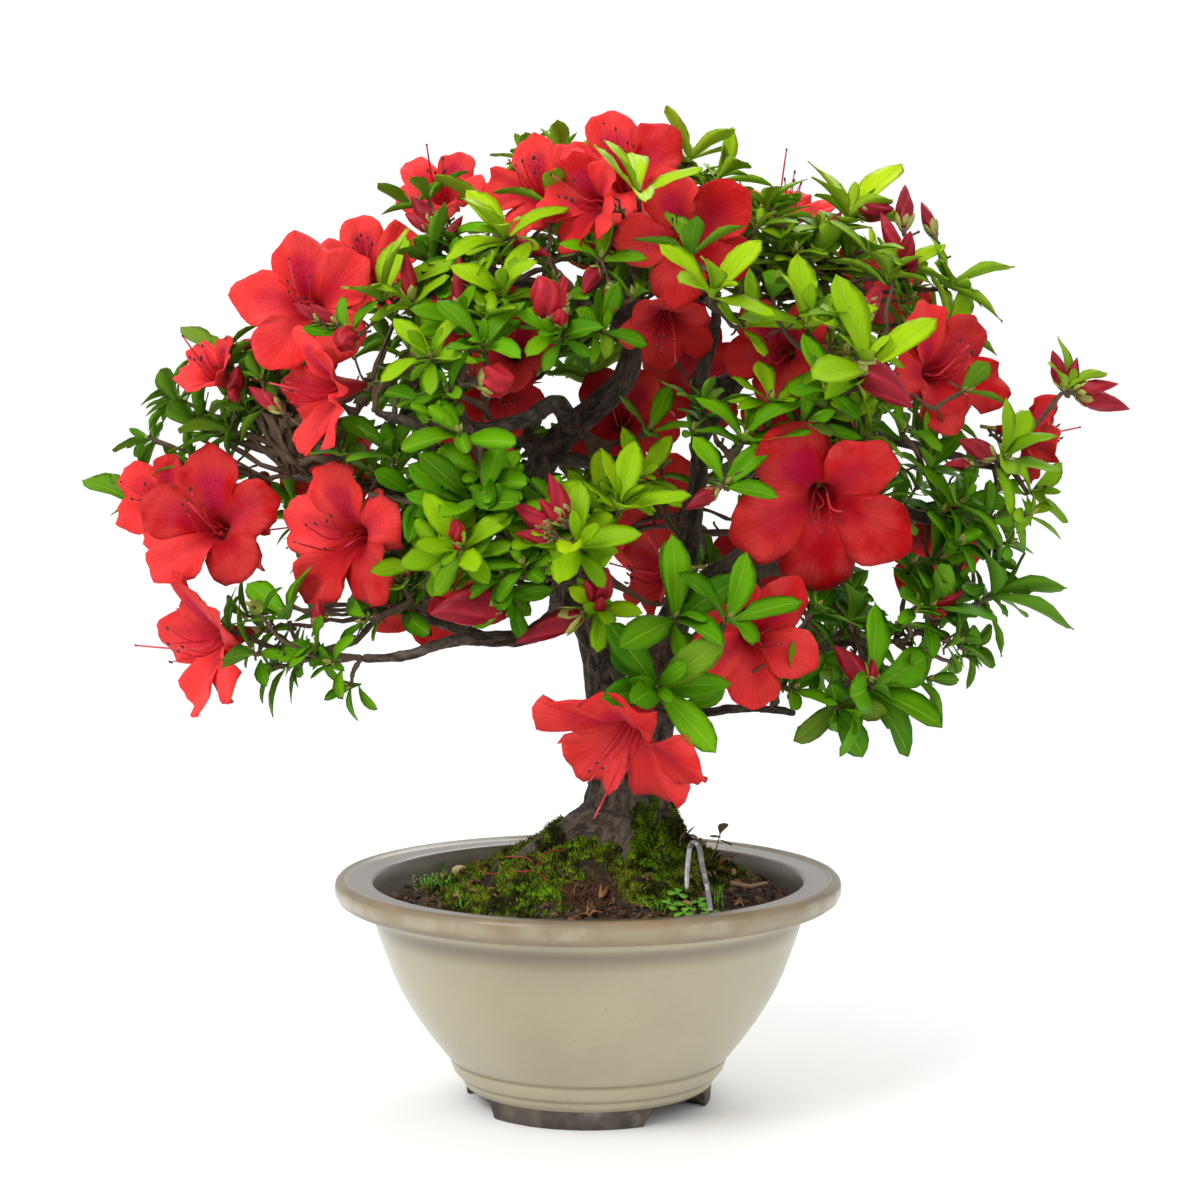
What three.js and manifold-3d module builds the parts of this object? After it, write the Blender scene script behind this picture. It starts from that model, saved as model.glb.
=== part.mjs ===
// Satsuki azalea bonsai in a glazed round pot, in millimetres, +Z up.
// The origin is the middle of the pot, on the surface that its three feet stand on.
// The tree's front looks towards -Y.

import * as THREE from 'three';
import { mergeVertices } from 'three/addons/utils/BufferGeometryUtils.js';
import Module from 'manifold-3d';

const wasm = await Module();
wasm.setup();

// Driving dimensions
const rimRadius = 105;          // outside of the pot's rim
const rimHeight = 94.3;         // flat top of the rim
const mouthRadius = 89;         // inner edge of the rim
const footHeight = 8;           // unglazed foot ring
const footRadius = 51;          // outside of the foot ring
const footRingWidth = 9;
const floorTop = 14.3;          // inside floor of the pot
const drainRadius = 10;         // drainage hole
const potSides = 32;
const soilLevel = 81;           // soil where it meets the pot
const moundRise = 31;           // how far the soil rises under the trunk
const moundSpread = 38;         // how wide that rise is
const moundCentre = [9, 2];
const gap = 0.3;                // clearance between pieces that lie on each other
const screenRadius = 17;        // mesh over the drainage hole
const screenThick = 1;
const wireRadius = 1;           // 2 mm aluminium tie wire
const eye = new THREE.Vector3(5, -968, 267);  // where the tree's front is looked at from

const up = new THREE.Vector3(0, 0, 1);
const fullTurn = 2 * Math.PI;

// The limbs: rows of across, up, depth, radius, as they lie seen from the tree's front.
const limbs = {
  main_stem: [
    [14, 71, 0, 13], [14, 111, -2, 17.5], [13, 125, -3, 15.5], [12, 139, -3, 12],
    [9, 158, -3, 9.5], [7, 175, -3, 9], [4, 191, -2, 8.5], [-4, 212, 2, 8], [-17, 233, 8, 7.6],
    [-23, 249, 10, 7], [-17, 268, 8, 6.4], [0, 285, 2, 5.8], [14, 298, -4, 5.4], [19, 315, -6, 4.8],
    [17, 331, 0, 3.8], [20, 347, 6, 3], [18, 358, 5, 2.4]],
  second_stem: [
    [22, 95, 4, 13], [24, 125, 4, 12], [26, 143, 3, 9.5], [28, 166, 4, 9], [31, 187, 6, 8.2],
    [38, 206, 8, 7], [40, 220, 10, 5.4], [43, 241, 12, 4.6], [46, 266, 14, 4], [45, 294, 12, 3.6],
    [51, 315, 8, 3], [53, 329, -4, 2.3]],
  root_left: [[12, 115, -4, 14], [-1, 112, -8, 10.5], [-16, 105, -11, 7.5], [-42, 86, -14, 3]],
  root_right: [[26, 114, 2, 12], [36, 101, 6, 8], [45, 86, 10, 4.5]],
  root_front: [[14, 110, -10, 13], [11, 97, -26, 9], [7, 82, -42, 5]],
  root_back: [[17, 111, 8, 13], [19, 99, 30, 8], [23, 83, 48, 4]],
  low_left: [
    [-3, 209, 0, 5], [-14, 200, -14, 4.6], [-26, 193, -30, 4.2], [-41, 192, -42, 3.4],
    [-57, 191, -50, 2.8], [-76, 185, -55, 2.3], [-94, 184, -55, 2]],
  low_left_fork: [[-41, 192, -42, 3], [-57, 197, -38, 2.5], [-72, 202, -30, 2.1], [-83, 207, -24, 1.7]],
  left_edge: [
    [-20, 241, 9, 5], [-45, 249, -5, 4], [-73, 253, -18, 3.2], [-102, 257, -18, 2.5],
    [-122, 259, -8, 2]],
  mid_left: [
    [-7, 279, 4, 4.8], [-13, 289, -22, 4.2], [-27, 282, -48, 3.6], [-49, 278, -62, 3.2],
    [-67, 280, -66, 2.7], [-80, 283, -65, 2.3], [-88, 286, -64, 1.9]],
  mid_left_riser: [[-49, 278, -62, 3], [-54, 288, -70, 2.2]],
  upper_left: [
    [19, 317, -6, 4.4], [1, 331, -20, 3.6], [-24, 338, -32, 3.1], [-44, 344, -30, 2.6],
    [-61, 348, -22, 2.1]],
  top_left_riser: [[-18, 336, -29, 2.8], [-16, 347, -48, 2]],
  right_top: [
    [46, 274, 14, 3.8], [62, 298, 22, 3.4], [79, 319, 16, 3], [92, 333, 4, 2.6], [100, 343, -6, 2.1]],
  right_arm: [
    [38, 206, 8, 6.2], [48, 215, 2, 5.3], [61, 224, -6, 4.8], [73, 234, -14, 4.7], [83, 249, -20, 4.5],
    [87, 266, -24, 4.2], [93, 279, -30, 3.8], [108, 289, -40, 3], [117, 294, -48, 2.3]],
  right_low: [
    [83, 248, -20, 4.2], [104, 250, -18, 3.8], [120, 247, -18, 3.4], [139, 242, -22, 3],
    [154, 241, -30, 2.3]],
  right_edge: [[92, 277, -28, 3.2], [116, 276, -18, 2.8], [145, 269, -10, 2.4], [170, 262, -8, 2]],
  centre_right: [[73, 234, -14, 4], [68, 248, -40, 2.8], [64, 259, -54, 2.2]],
  low_right_outer: [
    [31, 187, 6, 4], [59, 190, -6, 2.8], [88, 188, -22, 2.3], [113, 191, -36, 1.9],
    [127, 191, -42, 1.6]],
  low_right: [
    [7, 180, -6, 4], [11, 181, -14, 3.4], [15, 171, -23, 3.1], [24, 164, -27, 2.8],
    [46, 161, -32, 2.4], [67, 163, -36, 2.1], [86, 161, -40, 1.8]],
  low_centre: [[28, 166, 2, 4.5], [25, 176, -20, 3.2], [21, 185, -42, 2.4]],
  centre: [[-14, 200, -14, 4.2], [-13, 208, -42, 3.2], [-15, 214, -64, 2.4]],
  centre_left: [[-45, 249, -5, 3.6], [-51, 250, -32, 2.8], [-55, 247, -54, 2.2]],
  inner_centre: [[-17, 268, 8, 4.4], [1, 265, -8, 3], [14, 266, -22, 2.3]],
  back_left_low: [[-9, 222, 6, 5], [-34, 222, 45, 3.6], [-63, 224, 76, 2.8], [-89, 228, 86, 2.1]],
  back_left_high: [[-17, 268, 8, 5], [-36, 282, 30, 3.4], [-61, 295, 46, 2.8], [-85, 304, 52, 2.1]],
  back_centre_low: [[40, 219, 10, 5], [42, 231, 48, 3.4], [44, 243, 84, 2.7], [41, 249, 102, 2.1]],
  back_right_low: [[48, 215, 2, 5], [72, 220, 38, 3.4], [100, 224, 62, 2.7], [124, 231, 68, 2.1]],
  back_right_high: [[45, 294, 12, 3.6], [71, 303, 34, 3], [99, 308, 46, 2.5], [119, 312, 46, 2.1]],
  back_top: [[19, 315, -6, 4.4], [21, 326, 26, 3.2], [20, 338, 48, 2.6], [17, 343, 58, 2.1]],
};

// The open blooms: name, throat (across, up, depth), facing (right, up, towards the eye), span across
// the lobes, how far open from 0 to 1, and the spray whose twig carries it.
const openBlooms = [
  ['bloom_left_large', [-156, 240, -22], [-0.25, 0.3, 0.92], 62, 1, 'far_left'],
  ['bloom_left_middle', [-100, 234, -42], [-0.52, -0.05, 0.85], 64, 0.95, 'left_mid_front'],
  ['bloom_left_low', [-158, 190, -33], [-0.8, -0.2, 0.55], 62, 0.95, 'left_low'],
  ['bloom_upper_left', [-115, 330, -42], [-0.12, 0.2, 0.96], 60, 1, 'top_left_flower'],
  ['bloom_upper_left_side', [-109, 294, -57], [-0.8, -0.15, 0.55], 56, 0.9, 'left_upper_side'],
  ['bloom_behind_leaf', [-90, 344, 2], [-0.05, 0.4, 0.9], 50, 0.9, 'top_left_flower'],
  ['bloom_crown_left', [-20, 376, -18], [-0.4, 0.4, 0.82], 50, 0.9, 'bright_upper_left'],
  ['bloom_crown', [14, 383, -8], [-0.1, 0.45, 0.88], 58, 1, 'top_bright'],
  ['bloom_crown_side', [0, 371, -48], [-0.65, 0.1, 0.72], 44, 0.85, 'top_centre'],
  ['bloom_crown_right', [40, 357, -46], [-0.05, 0.1, 0.98], 58, 1, 'top_bright'],
  ['bloom_under_crown', [32, 321, -34], [0, -0.7, 0.7], 46, 0.8, 'right_of_top'],
  ['bloom_right_shaded', [79, 310, -22], [-0.4, 0, 0.92], 50, 0.9, 'right_upper_front'],
  ['bloom_right_upper', [145, 303, -42], [0.45, 0.2, 0.86], 56, 0.95, 'right_big_leaf'],
  ['bloom_far_right', [182, 276, -18], [0.85, -0.15, -0.15], 44, 0.8, 'far_right'],
  ['bloom_right_large', [97, 247, -62], [0, -0.35, 0.93], 74, 1, 'right_inner'],
  ['bloom_right_low', [69, 192, -66], [0.15, -0.1, 0.97], 56, 1, 'low_right_inner'],
  ['bloom_hanging', [15, 149, -78], [-0.45, -0.75, 0.45], 72, 1, 'low_centre_leaves'],
  ['bloom_behind_trunk', [14, 282, 34], [0, 0.1, 0.95], 52, 0.95, 'inner_centre'],
  ['bloom_inner_left', [-36, 293, 3], [0.35, -0.3, 0.88], 42, 0.9, 'centre_mid_left'],
  ['bloom_side_centre', [28, 219, -48], [-0.8, -0.1, 0.35], 44, 0.8, 'centre_front'],
];

// The sprays. Whorls of leaves: across, up, depth, leaf length, leaves. Buds: across, up, depth, length,
// width. Blooms fused to the spray: throat, facing, span, how far open.
const sprays = {
  far_left: {
    whorls: [[-185, 246, 20, 34, 5], [-180, 275, 26, 20, 3], [-162, 262, 10, 26, 4]],
    blooms: [[-177, 249, 14, -0.45, 0.1, 0.85, 46, 0.8], [-142, 241, 8, 0.8, -0.1, -0.4, 48, 0.75]],
  },
  left_upper_side: {
    whorls: [[-150, 308, -12, 26, 5], [-145, 279, -2, 30, 4], [-157, 277, 8, 28, 4],
      [-102, 267, -46, 22, 4]],
    buds: [[-164, 294, -16, 17, 6], [-144, 298, -26, 18, 7], [-133, 291, -34, 18, 7],
      [-139, 313, -16, 12, 5]],
    blooms: [[-154, 302, -18, -0.5, 0.5, 0.6, 38, 0.6]],
  },
  top_left_flower: {
    whorls: [[-84, 331, -44, 38, 5], [-97, 316, -62, 20, 4]],
    buds: [[-116, 327, -64, 13, 5], [-108, 325, -66, 13, 5], [-99, 315, -68, 15, 11]],
  },
  upper_left_buds: {
    whorls: [[-72, 329, -56, 24, 5], [-53, 321, -66, 24, 5], [-64, 347, -30, 26, 4]],
    buds: [[-74, 341, -58, 20, 7], [-67, 343, -52, 18, 6], [-54, 338, -66, 22, 8],
      [-61, 330, -62, 13, 6]],
  },
  upper_left_crown: {
    whorls: [[-72, 369, 4, 24, 5], [-57, 355, -22, 26, 4]],
    buds: [[-66, 367, -18, 17, 8], [-59, 367, -14, 18, 6], [-54, 360, -22, 13, 5]],
    blooms: [[-60, 376, 14, -0.1, 0.55, 0.8, 44, 0.85]],
  },
  bright_upper_left: {
    whorls: [[-33, 356, -50, 32, 5], [-42, 370, -8, 30, 3], [-35, 332, -72, 28, 4],
      [-16, 370, -30, 26, 4]],
    buds: [[-22, 352, -56, 15, 6]],
  },
  top_centre: {
    whorls: [[-9, 385, 24, 24, 5], [-25, 388, 30, 20, 4], [5, 347, -50, 22, 4]],
    buds: [[1, 340, -62, 19, 7], [9, 333, -60, 13, 6]],
  },
  top_bright: {
    whorls: [[21, 375, -58, 29, 5], [42, 388, 6, 26, 4], [30, 356, -40, 24, 3], [52, 381, 6, 26, 5],
      [64, 370, 2, 26, 4]],
    buds: [[61, 372, -8, 12, 5]],
  },
  centre_upper: {
    whorls: [[-11, 316, -82, 24, 5], [18, 331, -50, 24, 4], [5, 319, -62, 22, 4]],
    buds: [[-16, 330, -86, 20, 15], [-11, 336, -74, 12, 5]],
  },
  right_of_top: {
    whorls: [[51, 331, -72, 34, 5], [42, 348, -66, 26, 4], [63, 319, -58, 26, 4]],
    buds: [[38, 326, -64, 14, 6]],
  },
  right_crown: {
    whorls: [[106, 365, -2, 38, 5], [75, 363, 10, 24, 4], [89, 344, -14, 28, 5],
      [129, 343, -24, 26, 5], [148, 337, -20, 28, 5]],
    buds: [[118, 367, -12, 18, 8], [101, 363, -14, 12, 5], [130, 369, -10, 22, 8],
      [138, 365, -2, 18, 6], [124, 357, -22, 20, 7], [132, 351, -30, 19, 8]],
    blooms: [[81, 367, 38, 0.1, 0.6, 0.3, 50, 0.8]],
  },
  right_upper_front: {
    whorls: [[90, 319, -66, 32, 5], [107, 310, -74, 24, 4], [75, 331, -60, 28, 4]],
    buds: [[106, 332, -64, 18, 7], [118, 333, -58, 17, 7], [109, 317, -76, 15, 6]],
  },
  right_big_leaf: {
    whorls: [[114, 302, -86, 40, 4], [148, 319, -30, 26, 5], [98, 294, -80, 24, 5],
      [153, 294, -48, 24, 4]],
    buds: [[122, 297, -92, 30, 13]],
  },
  far_right: {
    whorls: [[195, 294, -34, 24, 4], [170, 265, -52, 28, 5], [182, 252, -36, 22, 4]],
    buds: [[193, 303, -36, 17, 7], [178, 290, -36, 18, 7], [213, 290, -34, 23, 9],
      [160, 271, -60, 20, 8], [153, 265, -60, 12, 5], [166, 260, -60, 13, 6]],
  },
  right_mid: {
    whorls: [[153, 247, -52, 26, 4], [141, 262, -50, 26, 5], [165, 241, -46, 20, 3],
      [130, 277, -58, 24, 4]],
  },
  right_low_leaf: {
    whorls: [[166, 210, -30, 36, 5], [141, 205, -46, 32, 5], [153, 191, -42, 20, 3]],
    buds: [[148, 209, -52, 17, 6]],
  },
  low_right_hanging: {
    whorls: [[115, 171, -58, 36, 5], [102, 164, -50, 26, 4], [108, 199, -40, 28, 4]],
    buds: [[108, 181, -60, 20, 10]],
  },
  low_right_inner: {
    whorls: [[58, 200, -84, 34, 4], [93, 203, -48, 24, 4], [84, 171, -58, 22, 4]],
  },
  low_centre_leaves: {
    whorls: [[28, 171, -88, 36, 5], [36, 199, -84, 36, 5], [36, 163, -70, 22, 3]],
  },
  centre_front: {
    whorls: [[-4, 229, -106, 28, 5], [13, 245, -92, 30, 5], [5, 205, -86, 22, 5]],
    buds: [[-23, 243, -108, 18, 8], [-12, 251, -108, 18, 8], [7, 214, -92, 17, 8],
      [-16, 196, -92, 29, 10]],
  },
  centre_low_left: {
    whorls: [[-52, 229, -104, 26, 5], [-46, 247, -88, 34, 5], [-33, 210, -76, 20, 4]],
    buds: [[-54, 236, -108, 12, 7], [-50, 206, -84, 31, 17]],
    blooms: [[-45, 266, -40, -0.2, 0.1, 0.9, 38, 0.8]],
  },
  left_mid_front: {
    whorls: [[-81, 267, -58, 28, 5], [-69, 247, -66, 26, 4], [-84, 231, -14, 22, 4]],
    buds: [[-88, 236, -58, 14, 7]],
  },
  left_low: {
    whorls: [[-124, 200, -44, 26, 5], [-112, 189, -58, 20, 4], [-138, 186, -46, 24, 4],
      [-147, 196, -40, 22, 3]],
    buds: [[-112, 203, -56, 12, 6]],
  },
  left_low_mid: {
    whorls: [[-76, 215, -48, 24, 4], [-91, 200, -48, 20, 4], [-65, 222, -56, 26, 4]],
    buds: [[-74, 224, -50, 13, 6]],
  },
  centre_mid_left: {
    whorls: [[-64, 308, -84, 24, 4], [-43, 312, -86, 26, 4], [-56, 294, -88, 18, 4]],
    buds: [[-38, 299, -94, 15, 14]],
    blooms: [[-31, 311, -22, -0.1, 0.2, 0.9, 42, 0.8]],
  },
  inner_centre: {
    whorls: [[25, 277, -34, 24, 4], [21, 258, -46, 26, 4], [4, 249, -50, 24, 4]],
    buds: [[2, 260, -40, 20, 11]],
  },
  inner_right: {
    whorls: [[46, 286, -40, 24, 4], [63, 274, -66, 28, 5], [57, 255, -70, 26, 4]],
    buds: [[47, 249, -74, 15, 7]],
  },
  right_inner: {
    whorls: [[113, 276, -58, 26, 4], [75, 290, -62, 26, 4], [87, 279, -66, 24, 4]],
  },
  back_left_low: {
    whorls: [[-98, 224, 90, 28, 4], [-120, 247, 72, 26, 4], [-83, 241, 102, 28, 4],
      [-61, 262, 92, 26, 4]],
    buds: [[-107, 208, 88, 18, 7]],
    blooms: [[-106, 262, 78, -0.6, 0.2, -0.75, 54, 0.95], [-70, 213, 96, -0.1, -0.2, -0.95, 56, 1]],
  },
  back_left_high: {
    whorls: [[-98, 311, 58, 28, 4], [-77, 331, 54, 28, 4], [-114, 285, 44, 26, 4],
      [-65, 290, 76, 28, 4]],
    buds: [[-85, 343, 48, 18, 7]],
    blooms: [[-118, 300, 34, -0.6, 0.4, -0.6, 52, 0.9], [-50, 329, 70, -0.2, 0.5, -0.8, 54, 1]],
  },
  back_centre_low: {
    whorls: [[46, 257, 104, 28, 4], [0, 262, 102, 28, 4], [-12, 224, 98, 26, 4], [42, 220, 96, 26, 4]],
    buds: [[30, 270, 106, 18, 7]],
    blooms: [[21, 247, 104, 0, 0, -1, 60, 1]],
  },
  back_right_low: {
    whorls: [[124, 241, 80, 28, 4], [149, 249, 54, 26, 4], [100, 208, 84, 26, 4], [79, 241, 100, 28, 4]],
    buds: [[116, 212, 86, 18, 7]],
    blooms: [[67, 214, 92, 0.2, -0.2, -0.95, 54, 1], [141, 226, 62, 0.6, -0.1, -0.7, 52, 0.9]],
  },
  back_right_high: {
    whorls: [[140, 311, 40, 28, 4], [108, 317, 68, 28, 4], [144, 284, 42, 26, 4], [108, 290, 76, 26, 4]],
    buds: [[132, 331, 44, 18, 7]],
    blooms: [[120, 335, 46, 0.4, 0.5, -0.7, 52, 0.95], [86, 276, 84, 0.2, 0.2, -0.95, 56, 1]],
  },
  back_top: {
    whorls: [[29, 358, 56, 26, 4], [-12, 358, 54, 28, 4], [62, 347, 50, 28, 4], [-26, 317, 84, 28, 4],
      [24, 321, 86, 28, 4]],
    buds: [[46, 335, 78, 18, 7]],
    blooms: [[11, 354, 64, 0, 0.6, -0.75, 54, 1], [44, 301, 92, 0.1, 0.2, -0.95, 54, 1]],
  },
};

// The tie wire, as a row of across, up, depth: a doubled end and one long leg, both pushed into the soil
const wireLine = [
  [41, 80, -40], [41, 93, -41], [42, 104, -43], [43.5, 107, -45], [46, 105, -47], [47.5, 97, -50],
  [49.5, 88, -55], [51, 78, -60]];

// Colours, roughness and metalness
const finishes = {
  glaze: { color: 0xb3b194, roughness: 0.35 },
  plastic: { color: 0x23252a, roughness: 0.7 },
  soil: { color: 0x3a2a1c, roughness: 1 },
  moss: { color: 0x5a7326, roughness: 1 },
  bark: { color: 0x5b5048, roughness: 0.9 },
  wire: { color: 0xb9bcc0, roughness: 0.4, metalness: 0.9 },
  petals: { color: 0xd8262b, roughness: 0.55 },
  leaves: { color: 0x4f9a1e, roughness: 0.5 },
};

const clamp = THREE.MathUtils.clamp;
const bonsai = new THREE.Group();

// --- Working with solids

function solidOf(geometry) {
  geometry.deleteAttribute('normal');
  geometry.deleteAttribute('uv');
  const merged = mergeVertices(geometry, 1e-4);
  const corners = [];
  for (let i = 0; i < merged.index.count; i += 3) {
    const [a, b, c] = merged.index.array.slice(i, i + 3);
    if (a !== b && b !== c && c !== a) corners.push(a, b, c);
  }
  return new wasm.Manifold(new wasm.Mesh({
    numProp: 3,
    vertProperties: new Float32Array(merged.attributes.position.array),
    triVerts: new Uint32Array(corners),
  }));
}

function geometryOf(solid) {
  const mesh = solid.getMesh();
  const geometry = new THREE.BufferGeometry();
  geometry.setAttribute('position', new THREE.BufferAttribute(mesh.vertProperties, 3));
  geometry.setIndex(new THREE.BufferAttribute(mesh.triVerts, 1));
  return geometry;
}

function indexedSolid(points, faces) {
  const geometry = new THREE.BufferGeometry().setFromPoints(points);
  geometry.setIndex(faces.flat());
  return solidOf(geometry);
}

// Joins solids two by two, and keeps the largest piece of the result.
function fuse(solids) {
  let row = solids;
  while (row.length > 1) {
    const joined = [];
    for (let i = 0; i < row.length; i += 2) {
      joined.push(i + 1 < row.length ? row[i].add(row[i + 1]) : row[i]);
    }
    row = joined;
  }
  return largestPiece(row[0]);
}

function largestPiece(solid) {
  const pieces = solid.decompose();
  return pieces.reduce((best, piece) => (piece.volume() > best.volume() ? piece : best));
}

function addPiece(name, solid, finish) {
  const mesh = new THREE.Mesh(geometryOf(solid), new THREE.MeshStandardMaterial(finishes[finish]));
  mesh.name = name;
  bonsai.add(mesh);
}

function boxesMeet(a, b) {
  return [0, 1, 2].every((i) => a.min[i] < b.max[i] && b.min[i] < a.max[i]);
}

// Whether a solid cuts into any of the solids listed with their boxes, by more than a crumb.
function crosses(solid, others) {
  const crumb = 0.005;
  const box = solid.boundingBox();
  return others.some((other) => boxesMeet(box, other.box) && solid.intersect(other.solid).volume() > crumb);
}

function withBox(solid) {
  return { solid, box: solid.boundingBox() };
}

// --- Places, directions and repeatable draws

// Across and up are read on the plane through the pot's middle; depth moves a point away from the eye.
function fromFront([across, rise, depth]) {
  const spread = 1 - depth / eye.y;
  return new THREE.Vector3(eye.x + (across - eye.x) * spread, depth, eye.z + (rise - eye.z) * spread);
}

// A direction given as right, up and towards the eye.
function facingOf([right, rise, towards]) {
  return new THREE.Vector3(right, -towards, rise).normalize();
}

function makeDraw(seed) {
  const modulus = 2147483647;
  let state = seed * 7919 % modulus;
  return (low, high) => {
    state = state * 16807 % modulus;
    return low + (high - low) * state / modulus;
  };
}

function sideOf(axis) {
  const other = Math.abs(axis.z) < 0.9 ? up : new THREE.Vector3(1, 0, 0);
  return new THREE.Vector3().crossVectors(axis, other).normalize();
}

function along(start, direction, distance) {
  return start.clone().addScaledVector(direction, distance);
}

// --- Tubes: a cylinder's rings moved onto a line of points

function tube(points, radii, sides, grow = 0, lobes = 0) {
  const last = points.length - 1;
  const geometry = new THREE.CylinderGeometry(1, 1, 1, sides, last);
  const rings = [];
  let side = null;
  points.forEach((point, i) => {
    const ahead = points[Math.min(i + 1, last)].clone().sub(points[Math.max(i - 1, 0)]).normalize();
    side = side ? side.clone().addScaledVector(ahead, -side.dot(ahead)).normalize() : sideOf(ahead);
    const centre = along(point, ahead, i === 0 ? -grow : i === last ? grow : 0);
    rings.push({ centre, side, cross: new THREE.Vector3().crossVectors(ahead, side) });
  });
  const place = geometry.attributes.position;
  for (let i = 0; i < place.count; i += 1) {
    const row = Math.round((0.5 - place.getY(i)) * last);
    const { centre, side: across, cross } = rings[row];
    const angle = Math.atan2(place.getZ(i), place.getX(i));
    const gnarl = 1 + lobes * Math.sin(3 * angle + row) + 0.5 * lobes * Math.sin(5 * angle - 2 * row);
    const reach = Math.hypot(place.getX(i), place.getZ(i)) * (radii[row] * gnarl + grow);
    const moved = along(centre, across, Math.cos(angle) * reach);
    moved.addScaledVector(cross, Math.sin(angle) * reach);
    place.setXYZ(i, moved.x, moved.y, moved.z);
  }
  return solidOf(geometry);
}

// --- Pot: a turned wall with a wide rim, a hollow foot ring cut into three feet, and a drainage hole

const notchWidth = 38;
const notchHeight = 7;
const notchRound = 5;
const ringRecess = 6.5;         // floor of the hollow inside the foot ring
const notchAngles = [49.2, 169.2, 289.2];   // clockwise from the front, seen from below

function potSolid() {
  const ringInner = footRadius - footRingWidth;
  const outline = [
    [drainRadius, ringRecess], [ringInner, ringRecess], [ringInner, 0], [footRadius, 0],
    [footRadius, footHeight],
    [57.6, 14], [66.5, 29.5], [78.4, 49], [86.2, 69], [89.5, 81.5], [103, 85],
    [rimRadius, 90.5], [103, rimHeight], [mouthRadius, rimHeight], [83.5, 78], [66, 37],
    [46, floorTop], [drainRadius, floorTop], [drainRadius, ringRecess]];
  const turned = new THREE.LatheGeometry(outline.map(([r, z]) => new THREE.Vector2(r, z)), potSides);
  turned.rotateX(Math.PI / 2);
  let pot = solidOf(turned);
  for (const angle of notchAngles) {
    pot = pot.subtract(notchSolid(THREE.MathUtils.degToRad(angle)));
  }
  return pot;
}

// An arch with round ends that runs out through the foot ring.
function notchSolid(angle) {
  const half = notchWidth / 2;
  const round = notchRound;
  const arch = new THREE.Shape();
  arch.moveTo(-half, -2);
  arch.lineTo(half, -2);
  arch.lineTo(half, notchHeight - round);
  arch.absarc(half - round, notchHeight - round, round, 0, Math.PI / 2, false);
  arch.absarc(-half + round, notchHeight - round, round, Math.PI / 2, Math.PI, false);
  arch.closePath();
  const cut = new THREE.ExtrudeGeometry(arch, { depth: 28, bevelEnabled: false, curveSegments: 2 });
  cut.rotateX(Math.PI / 2);
  cut.translate(0, -30, 0);
  cut.rotateZ(angle);
  return solidOf(cut);
}

// --- Screen over the drainage hole: a thin round plate with square holes

const meshPitch = 4.5;          // half the distance between the screen's holes
const meshHole = 6;

function screenPlate(grow) {
  const radius = screenRadius + grow;
  const disc = new THREE.CylinderGeometry(radius, radius, screenThick + 2 * grow, 16);
  disc.rotateX(Math.PI / 2);
  disc.translate(0, 0, floorTop + gap + screenThick / 2);
  return solidOf(disc);
}

function screenSolid() {
  let plate = screenPlate(0);
  for (const x of [-meshPitch, meshPitch]) {
    for (const y of [-meshPitch, meshPitch]) {
      const hole = new THREE.BoxGeometry(meshHole, meshHole, meshHole);
      hole.translate(x, y, floorTop);
      plate = plate.subtract(solidOf(hole));
    }
  }
  return plate;
}

// --- Soil and moss

function soilHeight(x, y) {
  const away = Math.hypot(x - moundCentre[0], y - moundCentre[1]);
  return soilLevel + moundRise * Math.exp(-away * away / (2 * moundSpread * moundSpread));
}

// A round plug: a wall that follows the pot, and a top whose rings lie a given depth above the soil's height.
function plugSolid(wall, rings, sides, depthOf) {
  const rows = [...wall, ...rings.map((r) => [r === 'edge' ? mossRadius : r, 0])];
  const plug = new THREE.LatheGeometry(rows.map(([r, z]) => new THREE.Vector2(r, z)), sides);
  plug.rotateX(Math.PI / 2);
  const place = plug.attributes.position;
  for (let i = 0; i < place.count; i += 1) {
    const row = i % rows.length - wall.length;
    if (row >= 0) {
      const angle = Math.atan2(place.getY(i), place.getX(i));
      const stretch = rings[row] === 'edge' ? mossEdge(angle) / mossRadius : 1;
      const [x, y] = [place.getX(i) * stretch, place.getY(i) * stretch];
      place.setXYZ(i, x, y, soilHeight(x, y) + depthOf(x, y, row));
    }
  }
  return solidOf(plug);
}

const soilRings = [60, 40, 20];   // the soil's top is read on these rings, and the moss lies on them
const mossRadius = 62;

function soilSolid() {
  const wall = [[0, floorTop + gap], [45.5, floorTop + gap], [65.6, 37]];
  const mouth = 82.6;
  return plugSolid(wall, [mouth, ...soilRings, 0], potSides / 2, () => 0);
}

// How far from the middle the moss reaches on each side.
function mossEdge(angle) {
  return mossRadius + 5 * Math.sin(2 * angle + 1) + 3.5 * Math.sin(5 * angle);
}

function mossDepth(x, y) {
  return 3 + 1.1 * Math.sin(x / 5.5) * Math.sin(y / 6.5) + 0.8 * Math.sin(x / 9 + y / 7);
}

function mossSolid() {
  const under = [0, 20, 40, 'edge'];
  const over = ['edge', 44, 24, 0];
  return plugSolid([], [...under, ...over], 24, (x, y, row) => {
    if (row < under.length) return row === under.length - 1 ? 1 : gap;
    return row === under.length ? 2 : mossDepth(x, y);
  });
}

// --- Wood

const inSoil = ['main_stem', 'second_stem', 'root_left', 'root_right', 'root_front', 'root_back'];

function limbSolid(rows, grow = 0) {
  const thickest = Math.max(...rows.map((row) => row[3]));
  const sides = thickest > 14 ? 8 : thickest > 9 ? 6 : thickest > 4 ? 4 : 3;
  return tube(rows.map(fromFront), rows.map((row) => row[3]), sides, grow, thickest > 9 ? 0.05 : 0);
}

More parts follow.
